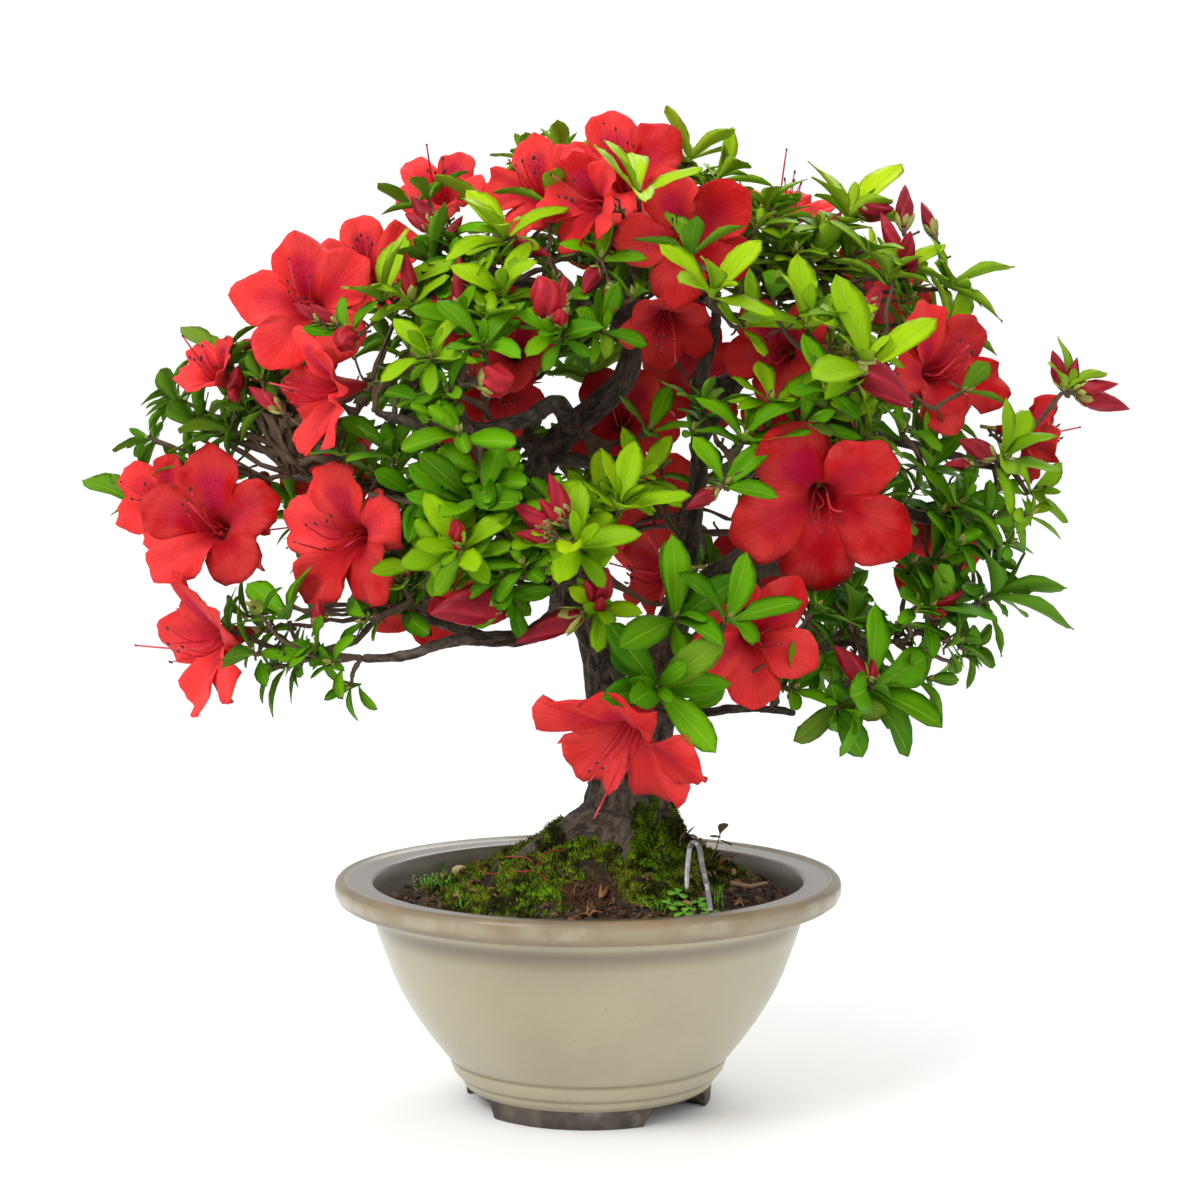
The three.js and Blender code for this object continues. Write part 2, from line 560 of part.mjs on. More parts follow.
// Places along every limb that a twig can grow from.
function twigPlaces() {
  const places = [];
  for (const [name, rows] of Object.entries(limbs)) {
    if (inSoil.includes(name) && name.startsWith('root')) continue;
    for (let i = 1; i < rows.length; i += 1) {
      for (const share of i === rows.length - 1 ? [0.5, 1] : [0.5]) {
        const point = fromFront(rows[i - 1]).lerp(fromFront(rows[i]), share);
        const radius = THREE.MathUtils.lerp(rows[i - 1][3], rows[i][3], share);
        if (radius < thickestPlace) places.push({ point, radius });
      }
    }
  }
  return places;
}

// --- Blooms: a funnel with five waved lobes, and stamens longer than the funnel

const tubeLength = 0.34;        // from a bloom's base to its throat, as a share of its span
const tubeWidth = 0.1;          // the funnel's half width where the lobes start
const lobeWave = 0.045;         // how far a lobe's corners stand up or down
const petalThick = 0.55;        // half the distance between the corolla's two faces, in millimetres
const pistilReach = 0.68;
const stamenReach = 0.54;

// The corolla's middle sheet for one of its five lobes, as radius, height, turn, all shares of the span.
function lobeRows(open, draw) {
  const flare = (r, z) => {
    const beyond = Math.max(r - tubeWidth, 0);
    return [Math.min(r, tubeWidth) + beyond * (0.35 + 0.65 * open), z + beyond * 0.9 * (1 - open)];
  };
  return {
    throat: flare(tubeWidth, 0.24),
    notch: flare(0.27, 0.4),
    middle: flare(0.3, 0.38 + draw(-0.01, 0.02)),
    left: flare(0.45 + draw(-0.01, 0.02), 0.42 + draw(-lobeWave, lobeWave)),
    tip: flare(0.5, 0.41 + draw(-lobeWave, lobeWave)),
    right: flare(0.45 + draw(-0.01, 0.02), 0.42 + draw(-lobeWave, lobeWave)),
  };
}

function bloomSolid(base, facing, span, open, seed, stamens) {
  const draw = makeDraw(seed);
  const side = sideOf(facing);
  const cross = new THREE.Vector3().crossVectors(facing, side);
  const spin = draw(0, fullTurn);
  const at = ([r, z], turn, lift = 0) => {
    const angle = spin + turn * fullTurn / 5;
    const point = along(base, facing, (z + lift) * span);
    point.addScaledVector(side, Math.cos(angle) * r * span);
    return point.addScaledVector(cross, Math.sin(angle) * r * span);
  };
  const thick = petalThick / span;
  const points = [];
  const inner = [];
  const outer = [];
  const put = (point) => points.push(point) - 1;
  for (let lobe = 0; lobe < 5; lobe += 1) {
    const rows = lobeRows(open, draw);
    const rim = {
      notch: put(at(rows.notch, lobe)),
      left: put(at(rows.left, lobe + 0.24)),
      tip: put(at(rows.tip, lobe + 0.5)),
      right: put(at(rows.right, lobe + 0.76)),
    };
    for (const [face, lift] of [[inner, thick], [outer, -thick]]) {
      const [r, z] = rows.throat;
      face.push({
        ...rim,
        throat: put(at([r - lift, z + lift * 0.6], lobe)),
        middle: put(at(rows.middle, lobe + 0.5, lift)),
      });
    }
  }
  const faces = [];
  const root = put(at([0, 0.07], 0));
  for (const [face, flip, middle] of [[inner, false, root], [outer, true, put(base)]]) {
    const add = (a, b, c) => faces.push(flip ? [a, c, b] : [a, b, c]);
    face.forEach((here, i) => {
      const next = face[(i + 1) % 5];
      if (flip || i >= stamens) add(middle, here.throat, next.throat);
      add(here.throat, here.notch, here.middle);
      add(here.throat, here.middle, next.throat);
      add(next.throat, here.middle, next.notch);
      add(here.notch, here.left, here.middle);
      add(here.left, here.tip, here.middle);
      add(here.tip, here.right, here.middle);
      add(here.right, next.notch, here.middle);
    });
  }
  for (let i = 0; i < stamens; i += 1) {
    const reach = i === 0 ? pistilReach : stamenReach + draw(-0.03, 0.03);
    const tip = put(at([0.085, reach], i + 0.5 + draw(-0.3, 0.3)));
    const corners = [root, inner[i].throat, inner[(i + 1) % 5].throat];
    growSpike(points, faces, corners, [shrunk(corners.map((k) => points[k]), 0.3)], tip);
  }
  const corolla = indexedSolid(points, faces);
  return corolla.volume() > 0 ? corolla : indexedSolid(points, faces.map(([a, b, c]) => [a, c, b]));
}

function middleOf(places) {
  return places.reduce((sum, place) => sum.add(place), new THREE.Vector3()).divideScalar(places.length);
}

function shrunk(places, share) {
  const centre = middleOf(places);
  return places.map((place) => centre.clone().lerp(place, share));
}

// Grows a spike out of a triangle of a skin, through rings of three points, up to its tip.
function growSpike(points, faces, corners, rings, tip) {
  let from = corners;
  for (const ring of rings) {
    const to = ring.map((place) => points.push(place) - 1);
    from.forEach((corner, k) => {
      const next = (k + 1) % 3;
      faces.push([corner, from[next], to[next]], [corner, to[next], to[k]]);
    });
    from = to;
  }
  from.forEach((corner, k) => faces.push([corner, from[(k + 1) % 3], tip]));
}

// --- Skins: closed surfaces that limbs, leaves and buds grow out of, from a face of what is already there

class Skin {
  constructor() {
    this.points = [];
    this.faces = [];
  }

  put(place) {
    return this.points.push(place) - 1;
  }

  at(corners) {
    return corners.map((i) => this.points[i]);
  }

  close(corners) {
    for (let k = 2; k < corners.length; k += 1) this.faces.push([corners[0], corners[k - 1], corners[k]]);
  }

  // The side between two rings of corners, as one face for each pair of neighbours.
  sides(low, high) {
    return low.map((corner, k) => {
      const next = (k + 1) % low.length;
      return [corner, low[next], high[next], high[k]];
    });
  }

  solid() {
    return indexedSolid(this.points, this.faces);
  }
}

// Rings of corners round a line of points, turned with it so that the sides never twist.
function ringsAlong(line, radii, flat, corners, last) {
  const headings = line.map((point, i) => {
    const ahead = line[Math.min(i + 1, line.length - 1)].clone().sub(point).normalize();
    const behind = point.clone().sub(line[Math.max(i - 1, 0)]).normalize();
    return ahead.add(behind).normalize();
  });
  if (last) headings[line.length - 1] = last;
  let turned = flat.clone();
  let before = null;
  return line.map((point, i) => {
    if (before) turned.applyQuaternion(new THREE.Quaternion().setFromUnitVectors(before, headings[i]));
    before = headings[i];
    turned = turned.addScaledVector(before, -turned.dot(before)).normalize();
    return ringPoints(point, before, turned, radii[i], corners);
  });
}

function ringPoints(centre, normal, side, radius, count) {
  const flat = side.clone().addScaledVector(normal, -side.dot(normal)).normalize();
  const cross = new THREE.Vector3().crossVectors(normal, flat);
  return Array.from({ length: count }, (_, k) => {
    const angle = k * fullTurn / count;
    const point = along(centre, flat, Math.cos(angle) * radius);
    return point.addScaledVector(cross, Math.sin(angle) * radius);
  });
}

function outwardOf(places) {
  const [a, b, c] = places;
  return b.clone().sub(a).cross(c.clone().sub(a)).normalize();
}

// --- Leaves, buds and twigs

const canopyMiddle = new THREE.Vector3(0, 0, 235);
const twigRadius = 1.25;
const bladeDepth = 1.2;         // a leaf's depth from its face to the midrib below
const largeLeaf = 33;           // leaves this long get two widths along the blade
const stubLength = 3.5;         // how much of a twig's start is left out when its room is tried
const twigRoom = 1.8;           // radius kept clear round a twig
const stalkRoom = 2.6;          // and round the stalk that carries a spray
const stalkTop = 1.5;           // radius of a stalk where its twigs start
const shortestStalk = 6;
const stalkFoot = 1.9;
const stationStep = 6;          // distance along the stalk between two twigs
const thickestPlace = 5.5;      // limbs thicker than this carry no spray
const bloomStalk = 5;           // from a twig's end to the base of the bloom that it carries
const bloomSeed = 900;
const soloBloomSeed = 101;

// Adds one leaf that grows out of a four-cornered root: low left, low right, high right, high left.
function growLeaf(skin, root, leaf, grow = 0) {
  const [lowLeft, lowRight, highRight, highLeft] = root;
  const { start, direction, upper, length, arch } = leaf;
  const side = new THREE.Vector3().crossVectors(upper, direction);
  const put = (s, across, lift) => {
    const point = along(along(start, direction, s * length), side, across);
    return skin.put(point.addScaledVector(upper, lift - arch * s * s * length));
  };
  const widths = length < largeLeaf ? [[0.56, 0.165]] : [[0.36, 0.135], [0.7, 0.15]];
  const { faces } = skin;
  let [left, right, keel] = [highLeft, highRight, null];
  for (const [s, half] of widths) {
    const nextLeft = put(s, half * length + grow, 0.04 * length);
    const nextRight = put(s, -half * length - grow, 0.04 * length);
    const nextKeel = put(s, 0, -bladeDepth - grow);
    faces.push([left, right, nextRight], [left, nextRight, nextLeft]);
    if (keel === null) {
      faces.push([lowLeft, left, nextLeft], [lowLeft, nextLeft, nextKeel]);
      faces.push([right, lowRight, nextRight], [lowRight, nextKeel, nextRight]);
      faces.push([lowLeft, nextKeel, lowRight]);
    } else {
      faces.push([left, nextLeft, nextKeel], [left, nextKeel, keel]);
      faces.push([right, nextKeel, nextRight], [right, keel, nextKeel]);
    }
    [left, right, keel] = [nextLeft, nextRight, nextKeel];
  }
  const tip = put(1 + grow / length, 0, 0);
  faces.push([left, right, tip], [left, tip, keel], [right, keel, tip]);
}

// The same leaf closed off by itself and a little fatter, to try whether it has room.
function leafProbe(corners, leaf) {
  const skin = new Skin();
  const root = corners.map((corner) => skin.put(corner.clone()));
  skin.close(root);
  growLeaf(skin, root, leaf, gap);
  return skin.solid();
}

// Where a whorl of leaves points: away from the middle of the canopy, up to the light, and on along its twig.
function whorlAxis(hub, heading) {
  const outward = hub.clone().sub(canopyMiddle).normalize();
  const axis = outward.add(up).normalize();
  return axis.addScaledVector(heading, 0.5 + Math.max(0, -axis.dot(heading))).normalize();
}

// Grows rings of corners out of a face, one after another, and gives back the last two.
function growRings(skin, root, rings) {
  let [below, low] = [null, root];
  for (const ring of rings) {
    if (below) for (const face of skin.sides(below, low)) skin.close(face);
    [below, low] = [low, ring.map((place) => skin.put(place))];
  }
  return [below, low];
}

// Grows a twig out of a four-cornered face to a hub, and a whorl on it: a leaf out of each side, and more
// leaves and the buds out of its top. What finds no room is bent, or left off.
function growWhorl(skin, root, line, size, count, buds, draw, others) {
  const hub = line[line.length - 1];
  const heading = hub.clone().sub(line[line.length - 2]).normalize();
  const axis = whorlAxis(hub, heading);
  const foot = skin.at(root);
  const path = [middleOf(foot), ...line.slice(1, -1), along(hub, axis, -0.9), along(hub, axis, 0.9)];
  const radii = path.map((_, i) => (i === path.length - 1 ? 1.7 : twigRadius));
  const rings = ringsAlong(path, radii, foot[0].clone().sub(path[0]), 4, axis).slice(1);
  const [low, high] = growRings(skin, root, rings);
  const apex = skin.put(along(hub, axis, 2.6));
  const own = [withBox(twigProbe([...line.slice(0, -1), along(hub, heading, -6)]))];
  const crown = high.map((corner, k) => [corner, high[(k + 1) % 4], apex]);
  growBuds(skin, crown, buds, others, own);
  const open = [...skin.sides(low, high), ...crown.filter((face) => !face.taken)];
  for (const [k, face] of open.entries()) {
    const leafRoot = [face[1], face[0], face[face.length - 1], face[2]];
    const corners = skin.at(leafRoot);
    const leaf = k < count && clearLeaf(corners, hub, axis, size, k < 4, draw, [...others, ...own]);
    if (leaf) {
      own.push(withBox(leafProbe(corners, leaf)));
      growLeaf(skin, leafRoot, leaf);
    } else {
      skin.close(face);
    }
  }
  return own;
}

function clearLeaf(corners, hub, axis, size, low, draw, others) {
  const outward = middleOf(corners).sub(hub);
  const radial = outward.addScaledVector(axis, -outward.dot(axis)).normalize();
  const lift = low ? draw(0.7, 1.3) : draw(0.3, 0.5);
  const length = size * draw(0.82, 1);
  const arch = draw(0.04, 0.16);
  const turn = draw(-0.15, 0.15);
  for (const bend of [0, 0.25, -0.25, 0.45, -0.45]) {
    const way = radial.clone().applyAxisAngle(axis, turn + bend);
    const tilt = lift - Math.abs(bend) * 0.6;
    const direction = axis.clone().multiplyScalar(Math.cos(tilt)).addScaledVector(way, Math.sin(tilt));
    const upper = axis.clone().multiplyScalar(Math.sin(tilt)).addScaledVector(way, -Math.cos(tilt));
    const leaf = { start: hub, direction, upper, length, arch };
    if (!crosses(leafProbe(corners, leaf), others)) return leaf;
  }
  return null;
}

function growBuds(skin, crown, buds, others, own) {
  for (const bud of buds) {
    const away = (face) => middleOf(skin.at(face)).distanceTo(bud.centre);
    const free = crown.filter((face) => !face.taken).sort((a, b) => away(a) - away(b));
    for (const face of free) {
      const shape = budShape(skin.at(face), bud);
      if (!shape.fair || crosses(budProbe(shape), [...others, ...own])) continue;
      face.taken = true;
      own.push(withBox(budProbe(shape)));
      growSpike(skin.points, skin.faces, face, shape.rings, skin.put(shape.tip));
      break;
    }
  }
}

// A bud's rings and tip, out of three corners: a stem if it stands away from them, its widest part, its tip.
function budShape(corners, { centre, length, width }) {
  const foot = middleOf(corners);
  const direction = centre.clone().sub(foot).normalize();
  const base = along(centre, direction, -length / 2);
  const away = base.clone().sub(foot).dot(direction);
  const flat = corners[0].clone().sub(foot);
  const ring = (point, radius) => ringPoints(point, direction, flat, radius, 3);
  const stem = away > 3 ? [ring(along(foot, direction, 2.5), 0.9), ring(base, 0.9)] : [];
  const waist = Math.max(length * 0.4, 2 - away);
  const wide = [ring(along(base, direction, waist), width / 1.75)];
  if (width > 9) wide.push(ring(along(base, direction, length * 0.75), width / 2.4));
  const fair = direction.dot(outwardOf(corners)) > 0.15;
  return { rings: [...stem, ...wide], tip: along(base, direction, length), fair };
}

function budProbe({ rings, tip }) {
  const points = rings[0].map((point) => point.clone());
  const faces = [[0, 2, 1]];
  growSpike(points, faces, [0, 1, 2], rings.slice(1), points.push(tip) - 1);
  return indexedSolid(points, faces);
}

// The line of a twig between two places, bowed one way or another until it is clear of the rest.
function clearLine(start, end, draw, others, stub = 0) {
  const span = start.distanceTo(end);
  const middle = start.clone().lerp(end, 0.5);
  for (let attempt = 0; attempt < 24; attempt += 1) {
    const bow = 0.05 * attempt * span;
    const way = new THREE.Vector3(draw(-bow, bow), draw(-bow, bow), draw(-bow, 0.4 * bow));
    const line = attempt ? [start, middle.clone().add(way), end] : [start, end];
    if (!crosses(twigProbe(line, stub), others)) return line;
  }
  return null;
}

// A twig as an obstacle, without its very start.
function twigProbe(line, stub = 0, radius = twigRoom) {
  const heading = line[1].clone().sub(line[0]);
  const first = along(line[0], heading.normalize(), Math.min(stub, line[0].distanceTo(line[1]) * 0.9));
  const rest = [first, ...line.slice(1)];
  return tube(rest, rest.map(() => radius), 6);
}

// The blooms that are fused to their spray, as solids, with the place and direction of each.
function sprayBlooms(plan, taken) {
  const rows = plan.blooms ?? [];
  return rows.map(([across, rise, depth, right, high, towards, span, open], i) => {
    const facing = facingOf([right, high, towards]);
    const base = along(fromFront([across, rise, depth]), facing, -tubeLength * span);
    return { base, facing, flower: bloomSolid(base, facing, span, open, bloomSeed + i * 37, 1) };
  }).filter(({ flower }) => !crosses(flower, taken));
}

// The spray's buds, each with the whorl's hub that is nearest to its foot, as most of them stand upright.
function readBuds(plan, hubs) {
  return (plan.buds ?? []).map(([across, rise, depth, length, width]) => {
    const centre = fromFront([across, rise, depth]);
    const foot = along(centre, up, -0.6 * length);
    const away = (hub) => hub.distanceTo(foot);
    const nearest = hubs.reduce((best, hub) => (away(hub) < away(best) ? hub : best));
    return { centre, length, width, hub: nearest };
  });
}

// Where a spray's twigs have to reach: under its blooms, and to every whorl but the first.
function twigEnds(hubs, carried, ownBlooms) {
  const under = ({ base, facing }, reach) => (
    { end: along(base, facing, -bloomStalk), tip: along(base, facing, reach) });
  return [
    ...carried.map((bloom) => under(bloom, -gap)),
    ...ownBlooms.map((bloom) => under(bloom, 2)),
    ...hubs.slice(1).map((hub, i) => ({ end: hub, whorl: i + 1 })),
  ];
}

// A straight four-sided stalk. It gives back its crown, and the side faces that twigs can grow out of.
function growStalk(skin, start, fork, count) {
  const heading = fork.clone().sub(start).normalize();
  const step = Math.min(stationStep, start.distanceTo(fork) * 0.85 / count);
  const forks = Array.from({ length: count }, (_, i) => along(fork, heading, -step * (count - i)));
  const rings = [start, ...forks, fork].map((point, i) => {
    const corners = ringPoints(point, heading, sideOf(heading), i ? stalkTop : stalkFoot, 4);
    return corners.map((place) => skin.put(place));
  });
  skin.close([...rings[0]].reverse());
  const lateral = [];
  for (let i = 1; i < rings.length; i += 1) {
    const faces = skin.sides(rings[i - 1], rings[i]);
    if (i === 1) faces.forEach((face) => skin.close(face));
    else lateral.push(...faces.map((face) => ({ face, station: i })));
  }
  return { crown: rings[rings.length - 1], lateral };
}

// Finds each end a free side of the stalk that looks its way, and a clear line from there.
function placeTwigs(skin, lateral, ends, draw, rest, ready) {
  const twigs = [];
  for (const end of ends) {
    const spots = lateral.filter(({ used }) => !used).map((spot) => {
      const from = middleOf(skin.at(spot.face));
      const outward = outwardOf(skin.at(spot.face));
      return { spot, from, outward, fair: outward.dot(end.end.clone().sub(from).normalize()) };
    }).filter(({ fair }) => fair > -0.2).sort((a, b) => b.fair - a.fair);
    for (const { spot, from, outward, fair } of spots.slice(0, 8)) {
      const elbow = fair < 0.45 ? along(from, outward, 4) : null;
      const way = clearLine(elbow ?? from, end.end, draw, [...rest, ...ready], elbow ? 0 : stubLength);
      if (!way) continue;
      const line = elbow ? [from, ...way] : way;
      twigs.push({ ...end, face: spot.face, line });
      ready.push(withBox(twigProbe(line, stubLength)));
      lateral.filter(({ station }) => station === spot.station).forEach((each) => { each.used = true; });
      spot.grown = true;
      break;
    }
  }
  lateral.filter(({ grown }) => !grown).forEach(({ face }) => skin.close(face));
  return twigs;
}

// A plain twig that ends in a bloom's base.
function growBloomTwig(skin, face, way, tip) {
  const foot = skin.at(face);
  const path = [middleOf(foot), ...way.slice(1), tip];
  const rings = ringsAlong(path, path.map(() => 1), foot[0].clone().sub(path[0]), 4).slice(1);
  const [below, last] = growRings(skin, face, rings);
  for (const side of skin.sides(below, last)) skin.close(side);
  skin.close(last);
}

// A leafy spray: the first whorl's twig grows off the wood, and the other twigs grow out of its sides.
function spraySolid(seed, plan, ownBlooms, carried, places, wood, others) {
  const draw = makeDraw(seed);
  const hubs = plan.whorls.map(fromFront);
  const rest = [wood, ...others, ...ownBlooms.map(({ flower }) => withBox(flower))];
  const buds = readBuds(plan, hubs);
  const ends = twigEnds(hubs, carried, ownBlooms);
  const middle = middleOf([hubs[0], ...ends.map(({ end }) => end)]);
  const stalk = clearStalk(middle, hubs[0], places, wood, draw, rest);
  if (!stalk) return { lost: Infinity };
  const { start, fork, line } = stalk;

  const skin = new Skin();
  const { crown, lateral } = growStalk(skin, start, fork, ends.length);
  const ready = [withBox(twigProbe([start, ...line]))];
  const twigs = placeTwigs(skin, lateral, ends, draw, rest, ready);

  const grown = [];
  const whorls = [{ face: crown, line, whorl: 0 }, ...twigs];
  for (const { face, line: way, whorl, tip } of whorls) {
    if (tip) {
      growBloomTwig(skin, face, way, tip);
      continue;
    }
    const beside = [...rest, ...ready.filter((_, k) => whorls[k].line !== way), ...grown];
    const [, , , size, count] = plan.whorls[whorl];
    const ownBuds = buds.filter(({ hub }) => hub === hubs[whorl]);
    grown.push(...growWhorl(skin, face, way, size, count, ownBuds, draw, beside));
  }
  const solid = fuse([skin.solid(), ...ownBlooms.map(({ flower }) => flower)]);
  const lost = ends.length - twigs.length + (crosses(solid, [wood, ...others]) ? 100 : 0);
  return { solid, lost };
}

// The first twig's line: off the nearest limb with room, by way of a fork near the middle of the spray.
function clearStalk(middle, hub, places, wood, draw, rest) {
  const near = [...places].sort((a, b) => a.point.distanceTo(middle) - b.point.distanceTo(middle));
  for (const place of near.slice(0, 12)) {
    const fork = place.point.clone().lerp(middle, 0.75);
    const heading = fork.clone().sub(place.point).normalize();
    const start = clearStart(place, heading, wood);
    if (!start || start.distanceTo(fork) < shortestStalk) continue;
    if (crosses(twigProbe([start, fork], 0, stalkRoom), rest)) continue;
    const line = clearLine(fork, hub, draw, rest);
    if (line) return { start, fork, line };
  }
  return null;
}

// The first start, going out from a limb's middle, where a twig's end clears the wood.
function clearStart({ point, radius }, heading, wood) {
  for (let out = radius * 0.5; out < radius + 9; out += 0.4) {
    const start = along(point, heading, out);
    const probe = tube([along(start, heading, -gap), along(start, heading, 4)], [stalkRoom, stalkRoom], 6);
    if (!crosses(probe, [wood])) return start;
  }
  return null;
}

// --- The whole bonsai

const holeGrowth = gap * 1.3;   // the holes round the wood and the wire in the soil and the moss
const wood = fuse(Object.values(limbs).map((rows) => limbSolid(rows)));
const trunkHole = fuse(inSoil.map((name) => limbSolid(limbs[name], holeGrowth)));
const wireSolid = (grow) => tube(wireLine.map(fromFront), wireLine.map(() => wireRadius), 6, grow);
const holes = trunkHole.add(wireSolid(holeGrowth));

addPiece('pot', potSolid(), 'glaze');
addPiece('drainage_screen', screenSolid(), 'plastic');
addPiece('soil', largestPiece(soilSolid().subtract(holes).subtract(screenPlate(gap))), 'soil');
const moss = largestPiece(mossSolid().subtract(holes));
addPiece('moss', moss, 'moss');
addPiece('trunk_and_branches', wood, 'bark');
addPiece('tie_wire', wireSolid(0), 'wire');

const grown = [];
const blooms = openBlooms.map(([name, throat, direction, span, open, spray], i) => {
  const facing = facingOf(direction);
  const base = along(fromFront(throat), facing, -tubeLength * span);
  const solid = bloomSolid(base, facing, span, open, soloBloomSeed + 13 * i, 5);
  grown.push(withBox(solid));
  addPiece(name, solid, 'petals');
  return { base, facing, spray };
});

const places = twigPlaces();
const woodBox = withBox(wood);
const fusedBlooms = {};         // by spray
for (const [name, plan] of Object.entries(sprays)) {
  const before = Object.values(fusedBlooms).flat().map(({ flower }) => withBox(flower));
  fusedBlooms[name] = sprayBlooms(plan, [woodBox, ...grown, ...before]);
}

const attempts = 12;            // tries at a spray until no twig of it is left off
for (const [name, plan] of Object.entries(sprays)) {
  const carried = blooms.filter((bloom) => bloom.spray === name);
  const elsewhere = Object.entries(fusedBlooms).filter(([other]) => other !== name).flatMap(([, row]) => row);
  const taken = [...grown, withBox(moss), ...elsewhere.map(({ flower }) => withBox(flower))];
  const seed = [...name].reduce((sum, letter) => sum * 3 + letter.charCodeAt(0), 7) % 99991;
  let best = { lost: Infinity };
  for (let attempt = 0; attempt < attempts && best.lost > 0; attempt += 1) {
    const tried = spraySolid(seed + attempt, plan, fusedBlooms[name], carried, places, woodBox, taken);
    if (tried.lost < best.lost) best = tried;
  }
  grown.push(withBox(best.solid));
  addPiece(`spray_${name}`, best.solid, 'leaves');
}

export default bonsai;
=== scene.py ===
import math
import random

import bmesh
import bpy
from mathutils import Matrix, Vector, kdtree, noise


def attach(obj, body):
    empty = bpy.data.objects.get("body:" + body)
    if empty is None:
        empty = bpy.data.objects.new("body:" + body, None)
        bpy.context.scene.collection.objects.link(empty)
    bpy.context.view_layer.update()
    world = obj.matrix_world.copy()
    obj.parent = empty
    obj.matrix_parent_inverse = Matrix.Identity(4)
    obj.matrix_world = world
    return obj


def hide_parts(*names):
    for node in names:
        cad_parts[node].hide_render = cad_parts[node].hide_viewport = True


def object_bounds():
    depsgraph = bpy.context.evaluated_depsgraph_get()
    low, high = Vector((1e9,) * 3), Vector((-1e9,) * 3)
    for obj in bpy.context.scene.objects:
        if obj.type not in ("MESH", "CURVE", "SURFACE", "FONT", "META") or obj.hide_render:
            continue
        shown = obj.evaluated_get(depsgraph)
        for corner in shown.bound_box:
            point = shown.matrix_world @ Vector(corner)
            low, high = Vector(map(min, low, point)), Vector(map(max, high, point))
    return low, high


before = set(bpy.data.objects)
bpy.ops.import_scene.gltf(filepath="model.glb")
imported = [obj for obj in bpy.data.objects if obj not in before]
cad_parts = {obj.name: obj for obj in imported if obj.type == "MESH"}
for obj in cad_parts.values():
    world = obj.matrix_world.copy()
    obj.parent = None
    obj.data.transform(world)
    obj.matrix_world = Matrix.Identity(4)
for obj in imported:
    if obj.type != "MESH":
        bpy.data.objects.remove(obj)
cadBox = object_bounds()
mm = 0.001
eye = (5, -968, 267)                             # where the tree is read from, in millimetres
fullTurn = 2 * math.pi
leafTurn = 2.4                                   # from one leaf of a whorl to the next
upward = Vector((0, 0, 1))
random.seed(7)
noise.seed_set(7)                                # keeps noise_vector the same from run to run


# places and directions

def fromFront(across, rise, depth):              # read on the plane through the pot's middle, in millimetres
    spread = 1 - depth / eye[1]
    return Vector((eye[0] + (across - eye[0]) * spread, depth, eye[2] + (rise - eye[2]) * spread)) * mm


def frontOf(point):                              # the same reading backwards
    depth = point.y / mm
    spread = 1 - depth / eye[1]
    return eye[0] + (point.x / mm - eye[0]) / spread, eye[2] + (point.z / mm - eye[2]) / spread, depth


def facingOf(right, rise, towards):
    return Vector((right, -towards, rise)).normalized()


def sideOf(axis):
    other = upward if abs(axis.z) < 0.9 else Vector((1, 0, 0))
    return axis.cross(other).normalized()


def makeDraw(seed):                              # repeatable draws
    state = seed * 7919 % 2147483647

    def draw(low, high):
        nonlocal state
        state = state * 16807 % 2147483647
        return low + (high - low) * state / 2147483647
    return draw


def blendOf(low, high, share):
    return low + (high - low) * share


def curveThrough(rows, steps):                   # smooth line through rows of numbers
    line = []
    for i in range(len(rows) - 1):
        a, b, c, d = (rows[min(max(i + k, 0), len(rows) - 1)] for k in (-1, 0, 1, 2))
        for step in range(steps):
            t = step / steps
            line.append([0.5 * (2 * q + (r - p) * t + (2 * p - 5 * q + 4 * r - s) * t * t
                                + (3 * q - p - 3 * r + s) * t ** 3) for p, q, r, s in zip(a, b, c, d)])
    return line + [list(rows[-1])]


def stray(reach):                                # a random push in any direction
    return Vector([random.uniform(-reach, reach) for _ in range(3)])


def leaning(spread):                             # about straight up
    return Vector((random.gauss(0, spread), random.gauss(0, spread), 1)).normalized()


def roundSpot(angle, reach):
    return reach * math.cos(angle), reach * math.sin(angle)


# meshes

def sized(x, y, z):
    return Matrix.Diagonal((x, y, z, 1))


def placed(point, ahead, side=None, scale=1.0):  # Z runs ahead and X to the side
    side = sideOf(ahead) if side is None else side
    side = (side - ahead * side.dot(ahead)).normalized()
    turn = Matrix((side, ahead.cross(side), ahead)).transposed().to_4x4()
    return Matrix.Translation(point) @ turn @ sized(scale, scale, scale)


def sweep(bm, points, radii, sides, slot=0, tone=(0.5, 0, 0, 1)):   # adds a closed round rod along points
    rod = tonedMesh()
    last = len(points) - 1
    side = sideOf((points[1] - points[0]).normalized())
    before = None
    for i, point in enumerate(points):
        ahead = (points[min(i + 1, last)] - points[max(i - 1, 0)]).normalized()
        side = (side - ahead * side.dot(ahead)).normalized()
        here = placed(point, ahead, side, radii[i])
        if before is None:
            ring = bmesh.ops.create_circle(rod, cap_ends=True, segments=sides, radius=1, matrix=here)["verts"]
            face = ring[0].link_faces[0]
            face.material_index = slot
        else:
            grown = bmesh.ops.extrude_face_region(rod, geom=[face])["geom"]
            face = next(part for part in grown if isinstance(part, bmesh.types.BMFace))
            bmesh.ops.transform(rod, matrix=here @ before.inverted(), verts=list(face.verts))
        before = here
    bmesh.ops.recalc_face_normals(rod, faces=rod.faces)
    layer = rod.verts.layers.float_color["tone"]
    for vert in rod.verts:
        vert[layer] = tone
    bm.from_mesh(meshOf(rod))


def meshOf(bm, name="shape"):
    mesh = bpy.data.meshes.new(name)
    bm.to_mesh(mesh)
    bm.free()
    return mesh


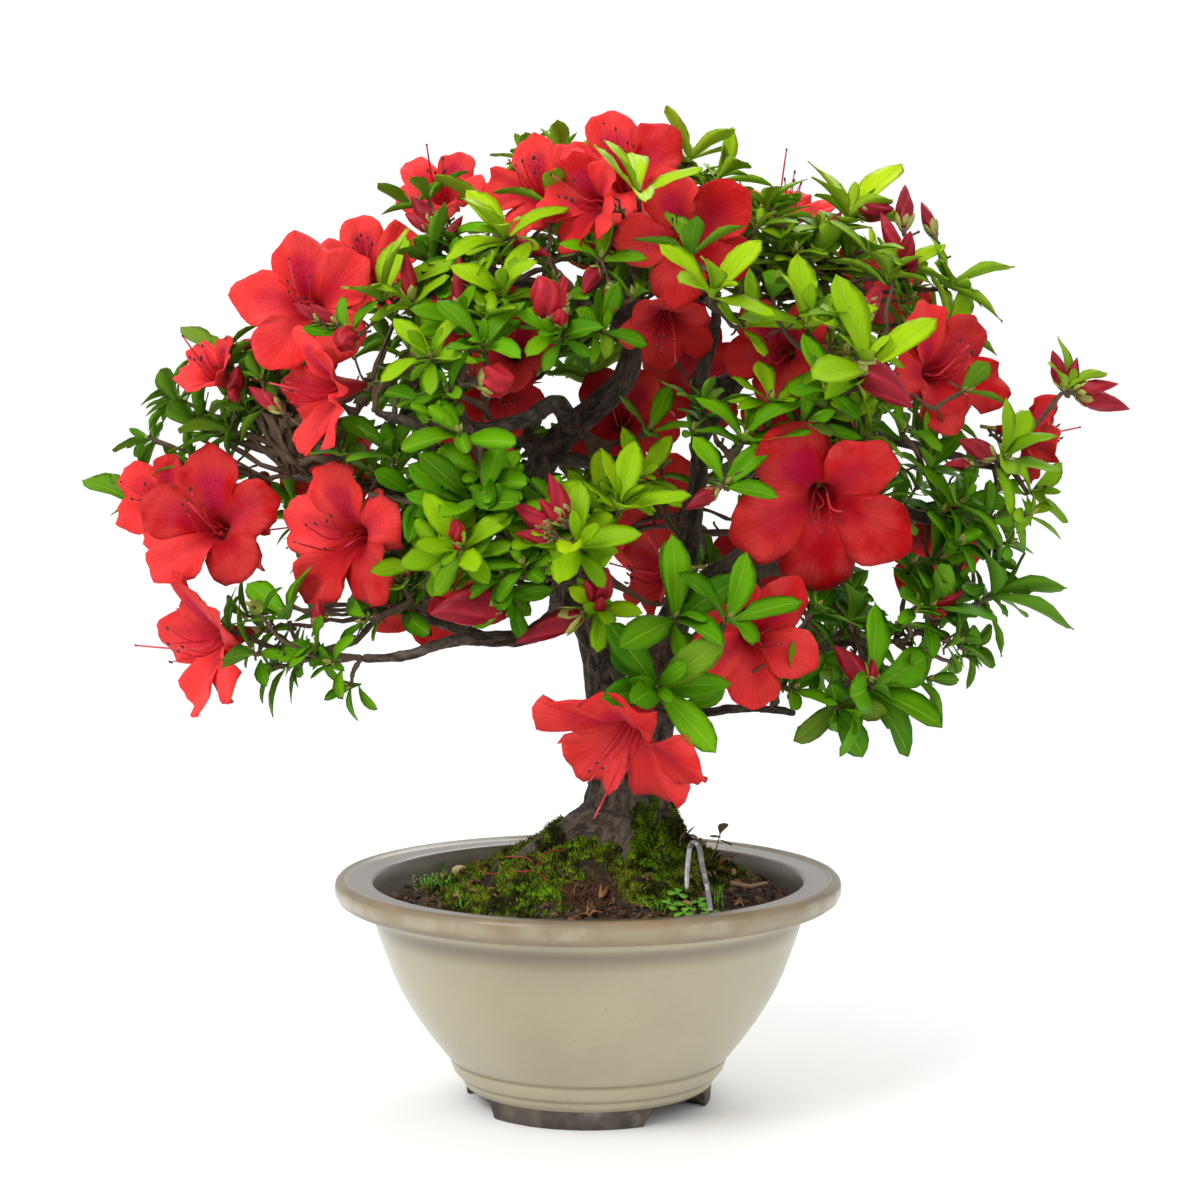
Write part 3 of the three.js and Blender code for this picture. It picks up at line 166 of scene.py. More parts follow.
def stamp(bm, mesh, matrix, slot=None, tone=None):   # adds a copy of a small mesh, placed and toned
    before = len(bm.verts)
    facesBefore = len(bm.faces)
    bm.from_mesh(mesh)
    bm.verts.ensure_lookup_table()
    bm.faces.ensure_lookup_table()
    new = bm.verts[before:]
    bmesh.ops.transform(bm, matrix=matrix, verts=new)
    if tone is not None:
        layer = bm.verts.layers.float_color["tone"]
        for vert in new:
            vert[layer] = tone
    if slot is not None:
        for face in bm.faces[facesBefore:]:
            face.material_index = slot
    return new


def scatter(bm, rows):                           # many stamps, joined in small batches
    for first in range(0, len(rows), 60):
        batch = tonedMesh()
        for row in rows[first:first + 60]:
            stamp(batch, *row)
        bm.from_mesh(meshOf(batch))


def tonedMesh():
    bm = bmesh.new()
    bm.verts.layers.float_color.new("tone")
    bm.loops.layers.uv.new("shapeMap")
    return bm


def asPiece(name, bm, materials, smooth=True):
    mesh = meshOf(bm, name)
    for material in materials:
        mesh.materials.append(material)
    mesh.polygons.foreach_set("use_smooth", [smooth] * len(mesh.polygons))
    piece = bpy.data.objects.new(name, mesh)
    bpy.context.scene.collection.objects.link(piece)
    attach(piece, "root")
    return piece


def withModifiers(bm, *modifiers):               # a mesh after modifiers given as type and settings
    holder = bpy.data.objects.new("holder", meshOf(bm))
    bpy.context.scene.collection.objects.link(holder)
    for kind, values in modifiers:
        modifier = holder.modifiers.new(kind, kind)
        for key, value in values.items():
            setattr(modifier, key, value)
    evaluated = holder.evaluated_get(bpy.context.evaluated_depsgraph_get())
    out = bmesh.new()
    out.from_mesh(evaluated.to_mesh())
    evaluated.to_mesh_clear()
    bpy.data.objects.remove(holder)
    return out


def cadCopy(node):                               # the node's loose triangles, merged into one skin
    bm = bmesh.new()
    bm.from_mesh(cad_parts[node].data)
    bmesh.ops.remove_doubles(bm, verts=bm.verts, dist=5e-6)
    return bm


# camera, floor and light

view = {"eye": (4.9, -968, 267.3), "down": 3.5, "lens": 70.4}
cameraData = bpy.data.cameras.new("camera")
cameraData.lens = view["lens"]
cameraData.sensor_width = 36
cameraData.clip_start = 0.05
camera = bpy.data.objects.new("camera", cameraData)
camera.location = Vector(view["eye"]) * mm
camera.rotation_euler = (math.radians(90 - view["down"]), 0, 0)
bpy.context.scene.collection.objects.link(camera)
bpy.context.scene.camera = camera
bpy.context.scene.view_settings.view_transform = "Standard"


# node helpers

def addNode(tree, kind, inputs=None, **settings):
    node = tree.nodes.new("ShaderNode" + kind)
    for key, value in settings.items():
        setattr(node, key, value)
    for key, value in (inputs or {}).items():
        if isinstance(value, bpy.types.NodeSocket):
            tree.links.new(value, node.inputs[key])
        elif hasattr(node.inputs[key].default_value, "__len__") and len(node.inputs[key].default_value) == 4:
            node.inputs[key].default_value = (*value[:3], 1)
        else:
            node.inputs[key].default_value = value
    return node


def mathOf(tree, operation, *values):
    inputs = {i: value for i, value in enumerate(values)}
    return addNode(tree, "Math", inputs, operation=operation).outputs[0]


def timesOf(tree, first, *others):               # a product of two values or more
    for other in others:
        first = mathOf(tree, "MULTIPLY", first, other)
    return first


def rampOf(tree, value, low, high, start=0.0, end=1.0):     # a value stretched from low..high to start..end
    inputs = {"Value": value, "From Min": low, "From Max": high, "To Min": start, "To Max": end}
    return addNode(tree, "MapRange", inputs, interpolation_type="SMOOTHSTEP").outputs[0]


def mixOf(tree, share, first, second):
    node = addNode(tree, "Mix", data_type="RGBA")
    for index, value in ((0, share), (6, first), (7, second)):
        if isinstance(value, bpy.types.NodeSocket):
            tree.links.new(value, node.inputs[index])
        else:
            node.inputs[index].default_value = (*value, 1) if index else value
    return node.outputs[2]


def newGroup(name, inputs, outputs):
    group = bpy.data.node_groups.new(name, "ShaderNodeTree")
    for label, kind, value in inputs:
        socket = group.interface.new_socket(label, in_out="INPUT", socket_type="NodeSocket" + kind)
        if value is not None:
            socket.default_value = value
    for label, kind in outputs:
        group.interface.new_socket(label, in_out="OUTPUT", socket_type="NodeSocket" + kind)
    start = group.nodes.new("NodeGroupInput")
    end = group.nodes.new("NodeGroupOutput")
    return group, start.outputs, end.inputs


def useGroup(tree, group, inputs):
    node = addNode(tree, "Group", node_tree=group)
    for key, value in inputs.items():
        if isinstance(value, bpy.types.NodeSocket):
            tree.links.new(value, node.inputs[key])
        elif isinstance(value, tuple):
            node.inputs[key].default_value = (*value, 1)
        else:
            node.inputs[key].default_value = value
    return node.outputs


def newMaterial(name, **sockets):                # constants stand on the shader's own sockets
    material = bpy.data.materials.new(name)
    material.use_nodes = True
    tree = material.node_tree
    shader = tree.nodes["Principled BSDF"]
    for key, value in sockets.items():
        shader.inputs[key].default_value = value
    return material, tree, shader


def finishShader(tree, shader, color=None, roughness=None, height=None, strength=0.3, distance=1.0):
    if color is not None:
        tree.links.new(color, shader.inputs["Base Color"])
    if roughness is not None:
        tree.links.new(roughness, shader.inputs["Roughness"])
    if height is not None:
        bump = addNode(tree, "Bump", {"Height": height, "Strength": strength, "Distance": distance * mm})
        tree.links.new(bump.outputs[0], shader.inputs["Normal"])


def objectPoint(tree):
    return addNode(tree, "TexCoord").outputs["Object"]


def toneParts(tree):                             # red, green and blue of the tone attribute
    tone = addNode(tree, "Attribute", attribute_name="tone").outputs[0]
    return addNode(tree, "SeparateColor", {0: tone}).outputs


# two tones mixed by noise, used by every finish
mottle, mottleIn, mottleOut = newGroup("mottle", [
    ("Vector", "Vector", None), ("Scale", "Float", 50.0), ("Detail", "Float", 4.0), ("Low", "Float", 0.35),
    ("High", "Float", 0.65), ("Dark", "Color", (0.0, 0.0, 0.0, 1)), ("Light", "Color", (1.0, 1.0, 1.0, 1))],
    [("Color", "Color"), ("Mask", "Float"), ("Noise", "Float")])
mottleNoise = addNode(mottle, "TexNoise", {
    "Vector": mottleIn["Vector"], "Scale": mottleIn["Scale"], "Detail": mottleIn["Detail"]})
mottleMask = rampOf(mottle, mottleNoise.outputs[0], mottleIn["Low"], mottleIn["High"])
mottle.links.new(mixOf(mottle, mottleMask, mottleIn["Dark"], mottleIn["Light"]), mottleOut["Color"])
mottle.links.new(mottleMask, mottleOut["Mask"])
mottle.links.new(mottleNoise.outputs[0], mottleOut["Noise"])

# small pits and grains over a broader swell, as a height
grain, grainIn, grainOut = newGroup("grain", [
    ("Vector", "Vector", None), ("Fine", "Float", 900.0), ("Broad", "Float", 160.0), ("Share", "Float", 0.5)],
    [("Height", "Float")])
grainFine, grainBroad = (addNode(grain, "TexNoise", {
    "Vector": grainIn["Vector"], "Scale": grainIn[size], "Detail": 3.0}).outputs[0]
    for size in ("Fine", "Broad"))
grainPart = timesOf(grain, grainFine, grainIn["Share"])
grain.links.new(mathOf(grain, "ADD", grainPart, grainBroad), grainOut["Height"])


def stageFloor():
    bm = bmesh.new()
    bmesh.ops.create_circle(bm, cap_ends=True, segments=96, radius=6)
    floorMaterial, tree, shader = newMaterial("pale_floor", Roughness=0.85)
    point = objectPoint(tree)
    tone = useGroup(tree, mottle, {"Vector": point, "Scale": 3.0, "Dark": (0.96, 0.96, 0.96),
                                   "Light": (0.98, 0.98, 0.98)})
    height = useGroup(tree, grain, {"Vector": point, "Fine": 2000.0, "Broad": 300.0})
    finishShader(tree, shader, tone["Color"], None, height["Height"], 0.05, 0.2)
    away = addNode(tree, "VectorMath", {0: point}, operation="LENGTH").outputs["Value"]
    tree.links.new(rampOf(tree, away, 0.35, 1.1, 1.0, 0.0), shader.inputs["Alpha"])
    mesh = meshOf(bm, "floor")
    mesh.materials.append(floorMaterial)
    floor = bpy.data.objects.new("floor", mesh)
    bpy.context.scene.collection.objects.link(floor)


lights = {                                       # place in metres, size, watts
    "key_light": ((-1.5, -1.6, 2.2), 1.3, 52),
    "fill_light": ((2.0, -1.7, 1.2), 2.0, 9),
    "back_light": ((0.5, 2.0, 2.2), 1.6, 32),
}


def studioLights():
    world = bpy.data.worlds.new("studio")
    world.use_nodes = True
    tree = world.node_tree
    sky = tree.nodes["Background"].inputs
    sky["Color"].default_value = (1, 1, 1, 1)
    seen = addNode(tree, "LightPath").outputs["Is Camera Ray"]
    tree.links.new(mathOf(tree, "MULTIPLY_ADD", seen, 0.22, 0.82), sky["Strength"])
    bpy.context.scene.world = world
    for name, (place, size, watts) in lights.items():
        data = bpy.data.lights.new(name, "AREA")
        data.size = size
        data.energy = watts
        light = bpy.data.objects.new(name, data)
        light.location = place
        light.rotation_euler = (Vector((0, 0, 0.2)) - light.location).to_track_quat("-Z", "Y").to_euler()
        bpy.context.scene.collection.objects.link(light)


stageFloor()
studioLights()
print("stage, camera and lights are set")


# pot

potShape = {
    "segments": 180,
    "profile": [                                 # radius and height
        (10, 6.5), (41, 6.5), (42, 5.8), (42.2, 0.5), (43, 0), (50.2, 0), (51, 0.6), (51.3, 4), (51.6, 7.6),
        (52.1, 8.3), (52.7, 9.4), (53.7, 10.9), (54.1, 11.6), (54.0, 12.1), (55.3, 12.7), (56.5, 14.2),
        (57.2, 16), (57.7, 17.9), (57.6, 18.6), (57.3, 19.0), (58.3, 19.6), (60.2, 21.6), (62.6, 24.6),
        (66.6, 29.8), (71.3, 36.5), (75.2, 42.8), (78.6, 49), (81.5, 55.4), (83.8, 61.8), (85.8, 67),
        (87.3, 71.5), (88.5, 75.5), (89.6, 79.3), (91.1, 81.9), (93.6, 83.0), (98, 83.7), (101.6, 84.4),
        (103.7, 85.9), (104.8, 88.2), (105, 90.5), (104.5, 92.7), (103.2, 94.1), (101.9, 94.2), (101.0, 93.8),
        (100.2, 93.1), (98.8, 92.8), (94, 92.7), (90.8, 92.7), (89.6, 92.3), (89, 91.2), (88.3, 86),
        (86.2, 80), (83.5, 75.5), (75, 55), (66, 36.8), (56, 24.5), (46.2, 14.3), (10, 14.3)],
    "notch": {"width": 38, "height": 7.2, "round": 6, "angles": (49.2, 169.2, 289.2)},
    "foot": {"inner": 40.5, "outer": 51.9, "top": 7.6},
}


def glazeMaterial():
    material, tree, shader = newMaterial("celadon_glaze")
    shader.inputs["Coat Roughness"].default_value = 0.18
    shader.inputs["Coat Weight"].default_value = 0.35
    point = objectPoint(tree)
    parts = addNode(tree, "SeparateXYZ", {0: point}).outputs
    cloudy = useGroup(tree, mottle, {"Vector": point, "Scale": 14.0, "Low": 0.3, "High": 0.7,
                                     "Dark": (0.335, 0.302, 0.195), "Light": (0.40, 0.365, 0.245)})
    specks = useGroup(tree, mottle, {
        "Vector": point, "Scale": 420.0, "Detail": 2.0, "Low": 0.66, "High": 0.74})
    stain = useGroup(tree, mottle, {"Vector": point, "Scale": 33.0, "Low": 0.5, "High": 0.8,
                                    "Dark": (0.16, 0.12, 0.075), "Light": (0.30, 0.20, 0.10)})
    cracks = addNode(tree, "TexVoronoi", {"Vector": point, "Scale": 190.0}, feature="DISTANCE_TO_EDGE")
    lines = rampOf(tree, cracks.outputs[0], 0.0, 0.03, 0.10, 0.0)
    flat = addNode(tree, "CombineXYZ", {0: parts[0], 1: parts[1]}).outputs[0]
    across = addNode(tree, "VectorMath", {0: flat}, operation="LENGTH").outputs["Value"]
    wobble = mathOf(tree, "MULTIPLY_ADD", stain["Noise"], 0.0016, across)
    height = mathOf(tree, "MULTIPLY_ADD", stain["Noise"], 0.003, parts[2])
    # places on the pot, by distance from its middle and height in metres
    lip = timesOf(tree, rampOf(tree, wobble, 0.1012, 0.1026), rampOf(tree, height, 0.0925, 0.0945))
    under = timesOf(tree, rampOf(tree, wobble, 0.0985, 0.1035), rampOf(tree, height, 0.090, 0.0865))
    inner = timesOf(tree, rampOf(tree, wobble, 0.0900, 0.0888), rampOf(tree, height, 0.0775, 0.0800))
    edge = mathOf(tree, "MAXIMUM", mathOf(tree, "MAXIMUM", lip, under), inner)
    # the turned lines above the foot
    belt = timesOf(tree, rampOf(tree, parts[2], 0.0200, 0.0189), rampOf(tree, parts[2], 0.0176, 0.0187))
    groove = timesOf(tree, rampOf(tree, parts[2], 0.0129, 0.0121), rampOf(tree, parts[2], 0.0110, 0.0118))
    foot = rampOf(tree, mathOf(tree, "MULTIPLY_ADD", stain["Noise"], 0.002, parts[2]), 0.0108, 0.0092)
    worn = mathOf(tree, "MAXIMUM", mathOf(tree, "MAXIMUM", belt, groove), foot)
    tone = mixOf(tree, timesOf(tree, specks["Mask"], 0.22), cloudy["Color"], (0.22, 0.18, 0.10))
    tone = mixOf(tree, lines, tone, (0.25, 0.22, 0.14))
    tone = mixOf(tree, timesOf(tree, worn, 0.6), tone, (0.20, 0.165, 0.09))
    tone = mixOf(tree, timesOf(tree, edge, 0.82), tone, stain["Color"])
    # the flat of the rim, dirty and stained
    ledge = timesOf(tree, rampOf(tree, wobble, 0.0900, 0.0925), rampOf(tree, wobble, 0.1018, 0.1000))
    ledge = timesOf(tree, ledge, rampOf(tree, height, 0.0922, 0.0932))
    ledgeTone = mixOf(tree, 0.5, stain["Color"], (0.075, 0.052, 0.028))
    tone = mixOf(tree, timesOf(tree, ledge, 0.95), tone, ledgeTone)
    band = timesOf(tree, rampOf(tree, wobble, 0.0985, 0.1010), rampOf(tree, stain["Noise"], 0.40, 0.62))
    tone = mixOf(tree, timesOf(tree, band, 0.62), tone, (0.24, 0.180, 0.098))
    # old brown stains on the outer rim
    rust = addNode(tree, "TexNoise", {"Vector": point, "Scale": 80.0, "Detail": 8.0}).outputs[0]
    aged = timesOf(tree, rampOf(tree, wobble, 0.0960, 0.0995), rampOf(tree, height, 0.0865, 0.0890))
    aged = timesOf(tree, aged, rampOf(tree, rust, 0.40, 0.72, 0.0, 0.55))
    tone = mixOf(tree, aged, tone, (0.185, 0.115, 0.048))
    # the dark corner inside the rim, and painted shade inside the pot above the soil
    corner = timesOf(tree, rampOf(tree, wobble, 0.0894, 0.0902), rampOf(tree, wobble, 0.0930, 0.0912))
    corner = timesOf(tree, corner, rampOf(tree, height, 0.0905, 0.0915))
    tone = mixOf(tree, timesOf(tree, corner, 0.75), tone, (0.095, 0.062, 0.034))
    paintedWallShade = timesOf(tree, rampOf(tree, across, 0.0905, 0.0890), rampOf(tree, parts[2], 0.070, 0.078))
    tone = mixOf(tree, timesOf(tree, paintedWallShade, 0.6), tone, (0.115, 0.088, 0.058))
    rough = rampOf(tree, edge, 0.0, 1.0, 0.34, 0.6)
    bumps = useGroup(tree, grain, {"Vector": point, "Fine": 800.0, "Broad": 60.0, "Share": 0.25})
    finishShader(tree, shader, tone, rough, bumps["Height"], 0.12, 0.8)
    return material


def bareClayMaterial():
    material, tree, shader = newMaterial("bare_clay")
    point = objectPoint(tree)
    tone = useGroup(tree, mottle, {"Vector": point, "Scale": 90.0, "Dark": (0.055, 0.042, 0.034),
                                   "Light": (0.11, 0.088, 0.072)})
    chalk = useGroup(tree, mottle, {"Vector": point, "Scale": 60.0, "Detail": 6.0, "Low": 0.56, "High": 0.74})
    color = mixOf(tree, timesOf(tree, chalk["Mask"], 0.5), tone["Color"], (0.30, 0.27, 0.23))
    bumps = useGroup(tree, grain, {"Vector": point, "Fine": 1500.0, "Broad": 400.0, "Share": 0.8})
    finishShader(tree, shader, color, rampOf(tree, tone["Mask"], 0, 1, 0.9, 0.75), bumps["Height"], 0.5, 0.6)
    return material


def makePot():
    bm = bmesh.new()
    corners = [bm.verts.new((r * mm, 0, z * mm)) for r, z in potShape["profile"]]
    ends = zip(corners, corners[1:] + corners[:1])
    edges = [bm.edges.new(pair) for pair in ends]
    bmesh.ops.spin(bm, geom=corners + edges, cent=(0, 0, 0), axis=upward, angle=fullTurn,
                   steps=potShape["segments"], use_merge=True)
    foot, notch = potShape["foot"], potShape["notch"]
    half = notch["width"] / 2
    for vert in bm.verts:                        # the foot is raised into three arches
        away, rise = Vector(vert.co.xy).length / mm, vert.co.z / mm
        if not foot["inner"] <= away <= foot["outer"] or rise > foot["top"] - 0.2:
            continue
        lift = 0
        for turn in notch["angles"]:
            centre = math.radians(turn - 90)
            along = vert.co.x / mm * math.cos(centre) + vert.co.y / mm * math.sin(centre)
            off = abs(vert.co.x / mm * math.sin(centre) - vert.co.y / mm * math.cos(centre))
            if along > 0 and off < half:
                inset = max(0, off - half + notch["round"]) / notch["round"]
                lift = notch["height"] * math.sqrt(max(0, 1 - inset ** 2.4))
        vert.co.z = (lift + rise * (foot["top"] - lift) / foot["top"]) * mm
    bmesh.ops.recalc_face_normals(bm, faces=bm.faces)
    for face in bm.faces:                        # bare clay on the foot and under the floor
        middle = face.calc_center_median()
        onFoot = middle.z < (foot["top"] + 0.3) * mm and middle.xy.length > foot["inner"] * mm
        face.material_index = 1 if onFoot or middle.z < (foot["top"] - 1) * mm else 0
    pot = asPiece("glazed_pot", bm, [glazeMaterial(), bareClayMaterial()])
    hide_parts("pot")


# soil and moss

ground = {"level": 81, "rise": 31, "spread": 38, "centre": (9, 2), "mossRadius": 62}


def soilHeight(x, y):                            # in millimetres
    away = math.hypot(x - ground["centre"][0], y - ground["centre"][1])
    return ground["level"] + ground["rise"] * math.exp(-away * away / (2 * ground["spread"] ** 2))


def mossEdge(angle):
    return ground["mossRadius"] + 5 * math.sin(2 * angle + 1) + 3.5 * math.sin(5 * angle)


def mossDepth(x, y):
    return 3 + 1.1 * math.sin(x / 5.5) * math.sin(y / 6.5) + 0.8 * math.sin(x / 9 + y / 7)


def lumps(x, y, size, seed=0):                   # noise of a size in millimetres, about -1 to 1
    return noise.noise(Vector((x / size, y / size, seed * 7.3))) * 1.6


def soilTop(x, y):
    return soilHeight(x, y) + 0.9 * lumps(x, y, 6) + 0.5 * lumps(x, y, 2.2, 1) - 0.4


def mossTop(x, y):
    edge = mossEdge(math.atan2(y, x))
    share = min(1, math.hypot(x, y) / edge)
    depth = (mossDepth(x, y) + 2.1 * lumps(x, y, 8, 2) + 1.1 * lumps(x, y, 3.2, 3)) * (1 - share ** 6)
    return soilHeight(x, y) + max(depth, -0.5) + (0.5 if share < 0.97 else 0)


def disc(bm, reach, height, rings, steps):       # a round surface over the pot's opening
    line = [bm.verts.new((i / rings, 0, 0)) for i in range(rings + 1)]
    edges = [bm.edges.new(pair) for pair in zip(line, line[1:])]
    bmesh.ops.spin(bm, geom=line + edges, cent=(0, 0, 0), axis=upward, angle=fullTurn, steps=steps,
                   use_merge=True)
    bmesh.ops.remove_doubles(bm, verts=bm.verts, dist=1e-6)
    for vert in bm.verts:
        x, y = vert.co.x, vert.co.y
        stretch = reach(math.atan2(y, x))
        x, y = x * stretch, y * stretch
        vert.co = Vector((x, y, height(x, y))) * mm


def closeDown(bm, bottom, inset):                # a skirt and floor under an open surface
    rim = [edge for edge in bm.edges if edge.is_boundary]
    skirt = bmesh.ops.extrude_edge_only(bm, edges=rim)["geom"]
    low = [part for part in skirt if isinstance(part, bmesh.types.BMVert)]
    for vert in low:
        vert.co = Vector((vert.co.x * inset, vert.co.y * inset, bottom * mm))
    edges = [part for part in skirt if isinstance(part, bmesh.types.BMEdge) and part.is_boundary]
    bmesh.ops.contextual_create(bm, geom=edges)
    bmesh.ops.recalc_face_normals(bm, faces=bm.faces)


def earthMaterial(name, dark, light, fleck):
    material, tree, shader = newMaterial(name)
    point = objectPoint(tree)
    tone = useGroup(tree, mottle, {
        "Vector": point, "Scale": 260.0, "Detail": 5.0, "Dark": dark, "Light": light})
    flecks = useGroup(tree, mottle, {
        "Vector": point, "Scale": 700.0, "Detail": 2.0, "Low": 0.62, "High": 0.72})
    color = mixOf(tree, timesOf(tree, flecks["Mask"], 0.6), tone["Color"], fleck)
    bumps = useGroup(tree, grain, {"Vector": point, "Fine": 1800.0, "Broad": 500.0, "Share": 0.8})
    finishShader(tree, shader, color, rampOf(tree, tone["Mask"], 0, 1, 1.0, 0.85), bumps["Height"], 0.8, 1.0)
    return material


def tonedMaterial(name, dark, light, roughness, bump=0.3, **sockets):   # tone: red mixes, green darkens
    material, tree, shader = newMaterial(name, **sockets)
    point = objectPoint(tree)
    tones = toneParts(tree)
    mottled = useGroup(tree, mottle, {"Vector": point, "Scale": 500.0})
    share = mathOf(tree, "MULTIPLY_ADD", mottled["Mask"], 0.25, tones[0])
    color = mixOf(tree, share, dark, light)
    color = mixOf(tree, timesOf(tree, tones[1], 0.6), color, (0.02, 0.014, 0.008))
    bumps = useGroup(tree, grain, {"Vector": point, "Fine": 2200.0, "Broad": 700.0, "Share": 0.6})
    rough = rampOf(tree, mottled["Noise"], 0.2, 0.8, roughness - 0.06, roughness + 0.06)
    finishShader(tree, shader, color, rough, bumps["Height"], bump, 0.5)
    return material


plug = {"reach": 82.4, "bottom": 30, "inset": 0.72}
grit = {"count": 2200, "reach": 81, "sizes": (0.7, 0.9, 1.2, 1.7, 2.4)}


def makeSoil():
    bm = bmesh.new()
    disc(bm, lambda _: plug["reach"], soilTop, 70, 150)
    closeDown(bm, plug["bottom"], plug["inset"])
    darkSoil = earthMaterial("dark_soil", (0.016, 0.010, 0.006), (0.060, 0.036, 0.020), (0.19, 0.12, 0.07))
    soil = asPiece("potting_soil", bm, [darkSoil])
    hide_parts("soil")
    bm = tonedMesh()
    pebble = bmesh.new()
    bmesh.ops.create_icosphere(pebble, subdivisions=1, radius=1)
    for vert in pebble.verts:
        vert.co *= 1 + 0.35 * noise.noise(vert.co * 3)
    crumb = meshOf(pebble)
    rows = []
    for _ in range(grit["count"]):
        angle, reach = random.uniform(0, fullTurn), grit["reach"] * math.sqrt(random.uniform(0.2, 1))
        x, y = roundSpot(angle, reach)
        if reach < mossEdge(angle) - 10:
            continue
        size = random.choice(grit["sizes"]) * random.uniform(0.7, 1.2)
        turn = Matrix.Rotation(random.uniform(0, fullTurn), 4, Vector((random.random(), random.random(), 1)))
        flat = sized(size * mm, size * mm * random.uniform(0.6, 1), size * mm * random.uniform(0.4, 0.9))
        place = Matrix.Translation(Vector((x, y, soilTop(x, y) + size * 0.3)) * mm)
        rows.append((crumb, place @ turn @ flat, None, (random.random() ** 2, random.uniform(0, 0.8), 0, 1)))
    scatter(bm, rows)
    crumbs = tonedMaterial("crumbs", (0.032, 0.020, 0.011), (0.17, 0.095, 0.045), 0.9, 0.8)
    asPiece("soil_crumbs", bm, [crumbs], smooth=False)


cushion = {"bottom": 80.2, "inset": 0.9}
tuft = {"count": 8100, "onBark": 5200, "blades": 5, "height": 3.1, "bark": (98, 134)}


def makeMoss(wood):
    bm = bmesh.new()
    disc(bm, mossEdge, mossTop, 64, 160)
    for vert in bm.verts:
        if vert.is_boundary:
            vert.co.z = (soilHeight(vert.co.x / mm, vert.co.y / mm) - 0.6) * mm
    closeDown(bm, cushion["bottom"], cushion["inset"])
    green = earthMaterial("moss_cushion", (0.014, 0.011, 0.004), (0.060, 0.045, 0.012), (0.14, 0.075, 0.03))
    moss = asPiece("moss_cushion", bm, [green])
    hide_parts("moss")
    blade = bmesh.new()
    for _ in range(tuft["blades"]):
        lean = Matrix.Rotation(random.uniform(-0.8, 0.8), 4, "X")
        lean = lean @ Matrix.Rotation(random.uniform(-0.8, 0.8), 4, "Y")
        high = random.uniform(0.6, 1.1)
        lift = Matrix.Translation(Vector((random.uniform(-0.5, 0.5), random.uniform(-0.5, 0.5), 0)))
        spike = lift @ lean @ Matrix.Translation(Vector((0, 0, high / 2)))
        bmesh.ops.create_cone(blade, cap_ends=False, segments=3, radius1=0.17, radius2=0, depth=high,
                              matrix=spike)
    blades = meshOf(blade)
    rows = []
    for _ in range(tuft["count"]):
        angle = random.uniform(0, fullTurn)
        reach = (mossEdge(angle) + 1.5) * math.sqrt(random.random())
        x, y = roundSpot(angle, reach)
        if lumps(x, y, 15, 9) > 0.7 or mossBare(x, y):
            continue
        size = tuft["height"] * random.uniform(0.45, 1.2) * mm
        tilt = leaning(0.35)
        spot = Vector((x, y, mossTop(x, y) - 0.4)) * mm
        rows.append((blades, placed(spot, tilt, scale=size), None, mossTone(x, y)))
    low, high = tuft["bark"]
    middles = [(face.center, face.normal) for face in wood.data.polygons if low < face.center.z / mm < high]
    for middle, normal in random.sample(middles, tuft["onBark"]):
        x, y, z = middle / mm
        grown = lumps(x, y, 9, 4) + 0.5 * lumps(x, z, 5, 6) + (118 - z) / 14 + (0.55 if x > 18 else -0.35)
        if grown < 0.35 or z < soilHeight(x, y):
            continue
        tilt = (normal + upward * 0.4 + Vector([random.gauss(0, 0.3) for _ in range(3)])).normalized()
        size = tuft["height"] * random.uniform(0.45, 1.0) * mm
        rows.append((blades, placed(middle, tilt, scale=size), None, mossTone(x, y)))
    bm = tonedMesh()
    scatter(bm, rows)
    asPiece("moss_tufts", bm, [mossMaterial()])


def mossTone(x, y):                              # red brightens, green darkens, blue turns olive; the hollows get painted shade
    low = max(0, min(1, -lumps(x, y, 8, 2) * 1.3 - 0.8 * lumps(x, y, 3.2, 3)))
    bright = 0.25 + 0.5 * lumps(x, y, 13, 5) + random.uniform(-0.25, 0.3) + mossBright(x, y) - 0.4 * low
    olive = 0.45 + 0.8 * lumps(x, y, 17, 8) + random.uniform(-0.3, 0.3) - mossBright(x, y)
    return (min(1, max(0, bright)), min(1, low + 0.7 * random.random() ** 2), min(1, max(0, olive)), 1)


def mossMaterial():
    material, tree, shader = newMaterial("moss_green")
    shader.inputs["Specular IOR Level"].default_value = 0.1
    tones = toneParts(tree)
    point = objectPoint(tree)
    mottled = useGroup(tree, mottle, {"Vector": point, "Scale": 900.0, "Low": 0.3, "High": 0.7})
    color = mixOf(tree, tones[0], (0.030, 0.070, 0.001), (0.200, 0.500, 0.002))
    color = mixOf(tree, timesOf(tree, tones[2], 0.75), color, (0.24, 0.205, 0.022))
    color = mixOf(tree, timesOf(tree, mottled["Mask"], 0.45), color, (0.34, 0.42, 0.02))
    clumps = addNode(tree, "TexNoise", {"Vector": point, "Scale": 210.0, "Detail": 4.0}).outputs[0]
    color = mixOf(tree, rampOf(tree, clumps, 0.52, 0.64, 0.0, 0.5), color, (0.20, 0.42, 0.004))
    # painted shade in the gaps between clumps
    color = mixOf(tree, rampOf(tree, clumps, 0.50, 0.41, 0.0, 0.85), color, (0.014, 0.013, 0.004))
    shade = rampOf(tree, mottled["Noise"], 0.50, 0.38, 0.0, 0.75)
    color = mixOf(tree, shade, color, (0.012, 0.016, 0.001))
    # the tone's green: painted shade in the cushion's hollows, and darker tufts at random
    color = mixOf(tree, timesOf(tree, tones[1], 0.85), color, (0.010, 0.009, 0.003))
    bumps = useGroup(tree, grain, {"Vector": point, "Fine": 2200.0, "Broad": 700.0, "Share": 0.6})
    rough = rampOf(tree, mottled["Noise"], 0.2, 0.8, 0.8, 0.95)
    finishShader(tree, shader, color, rough, bumps["Height"], 0.4, 0.5)
    return material


def mossBright(x, y):                            # sunlit cushions at the front
    left = 0.35 * math.exp(-((x + 27) ** 2 + (y + 45) ** 2) / 120)
    return left + 0.3 * math.exp(-((x - 24) ** 2 + (y + 25) ** 2) / 160)


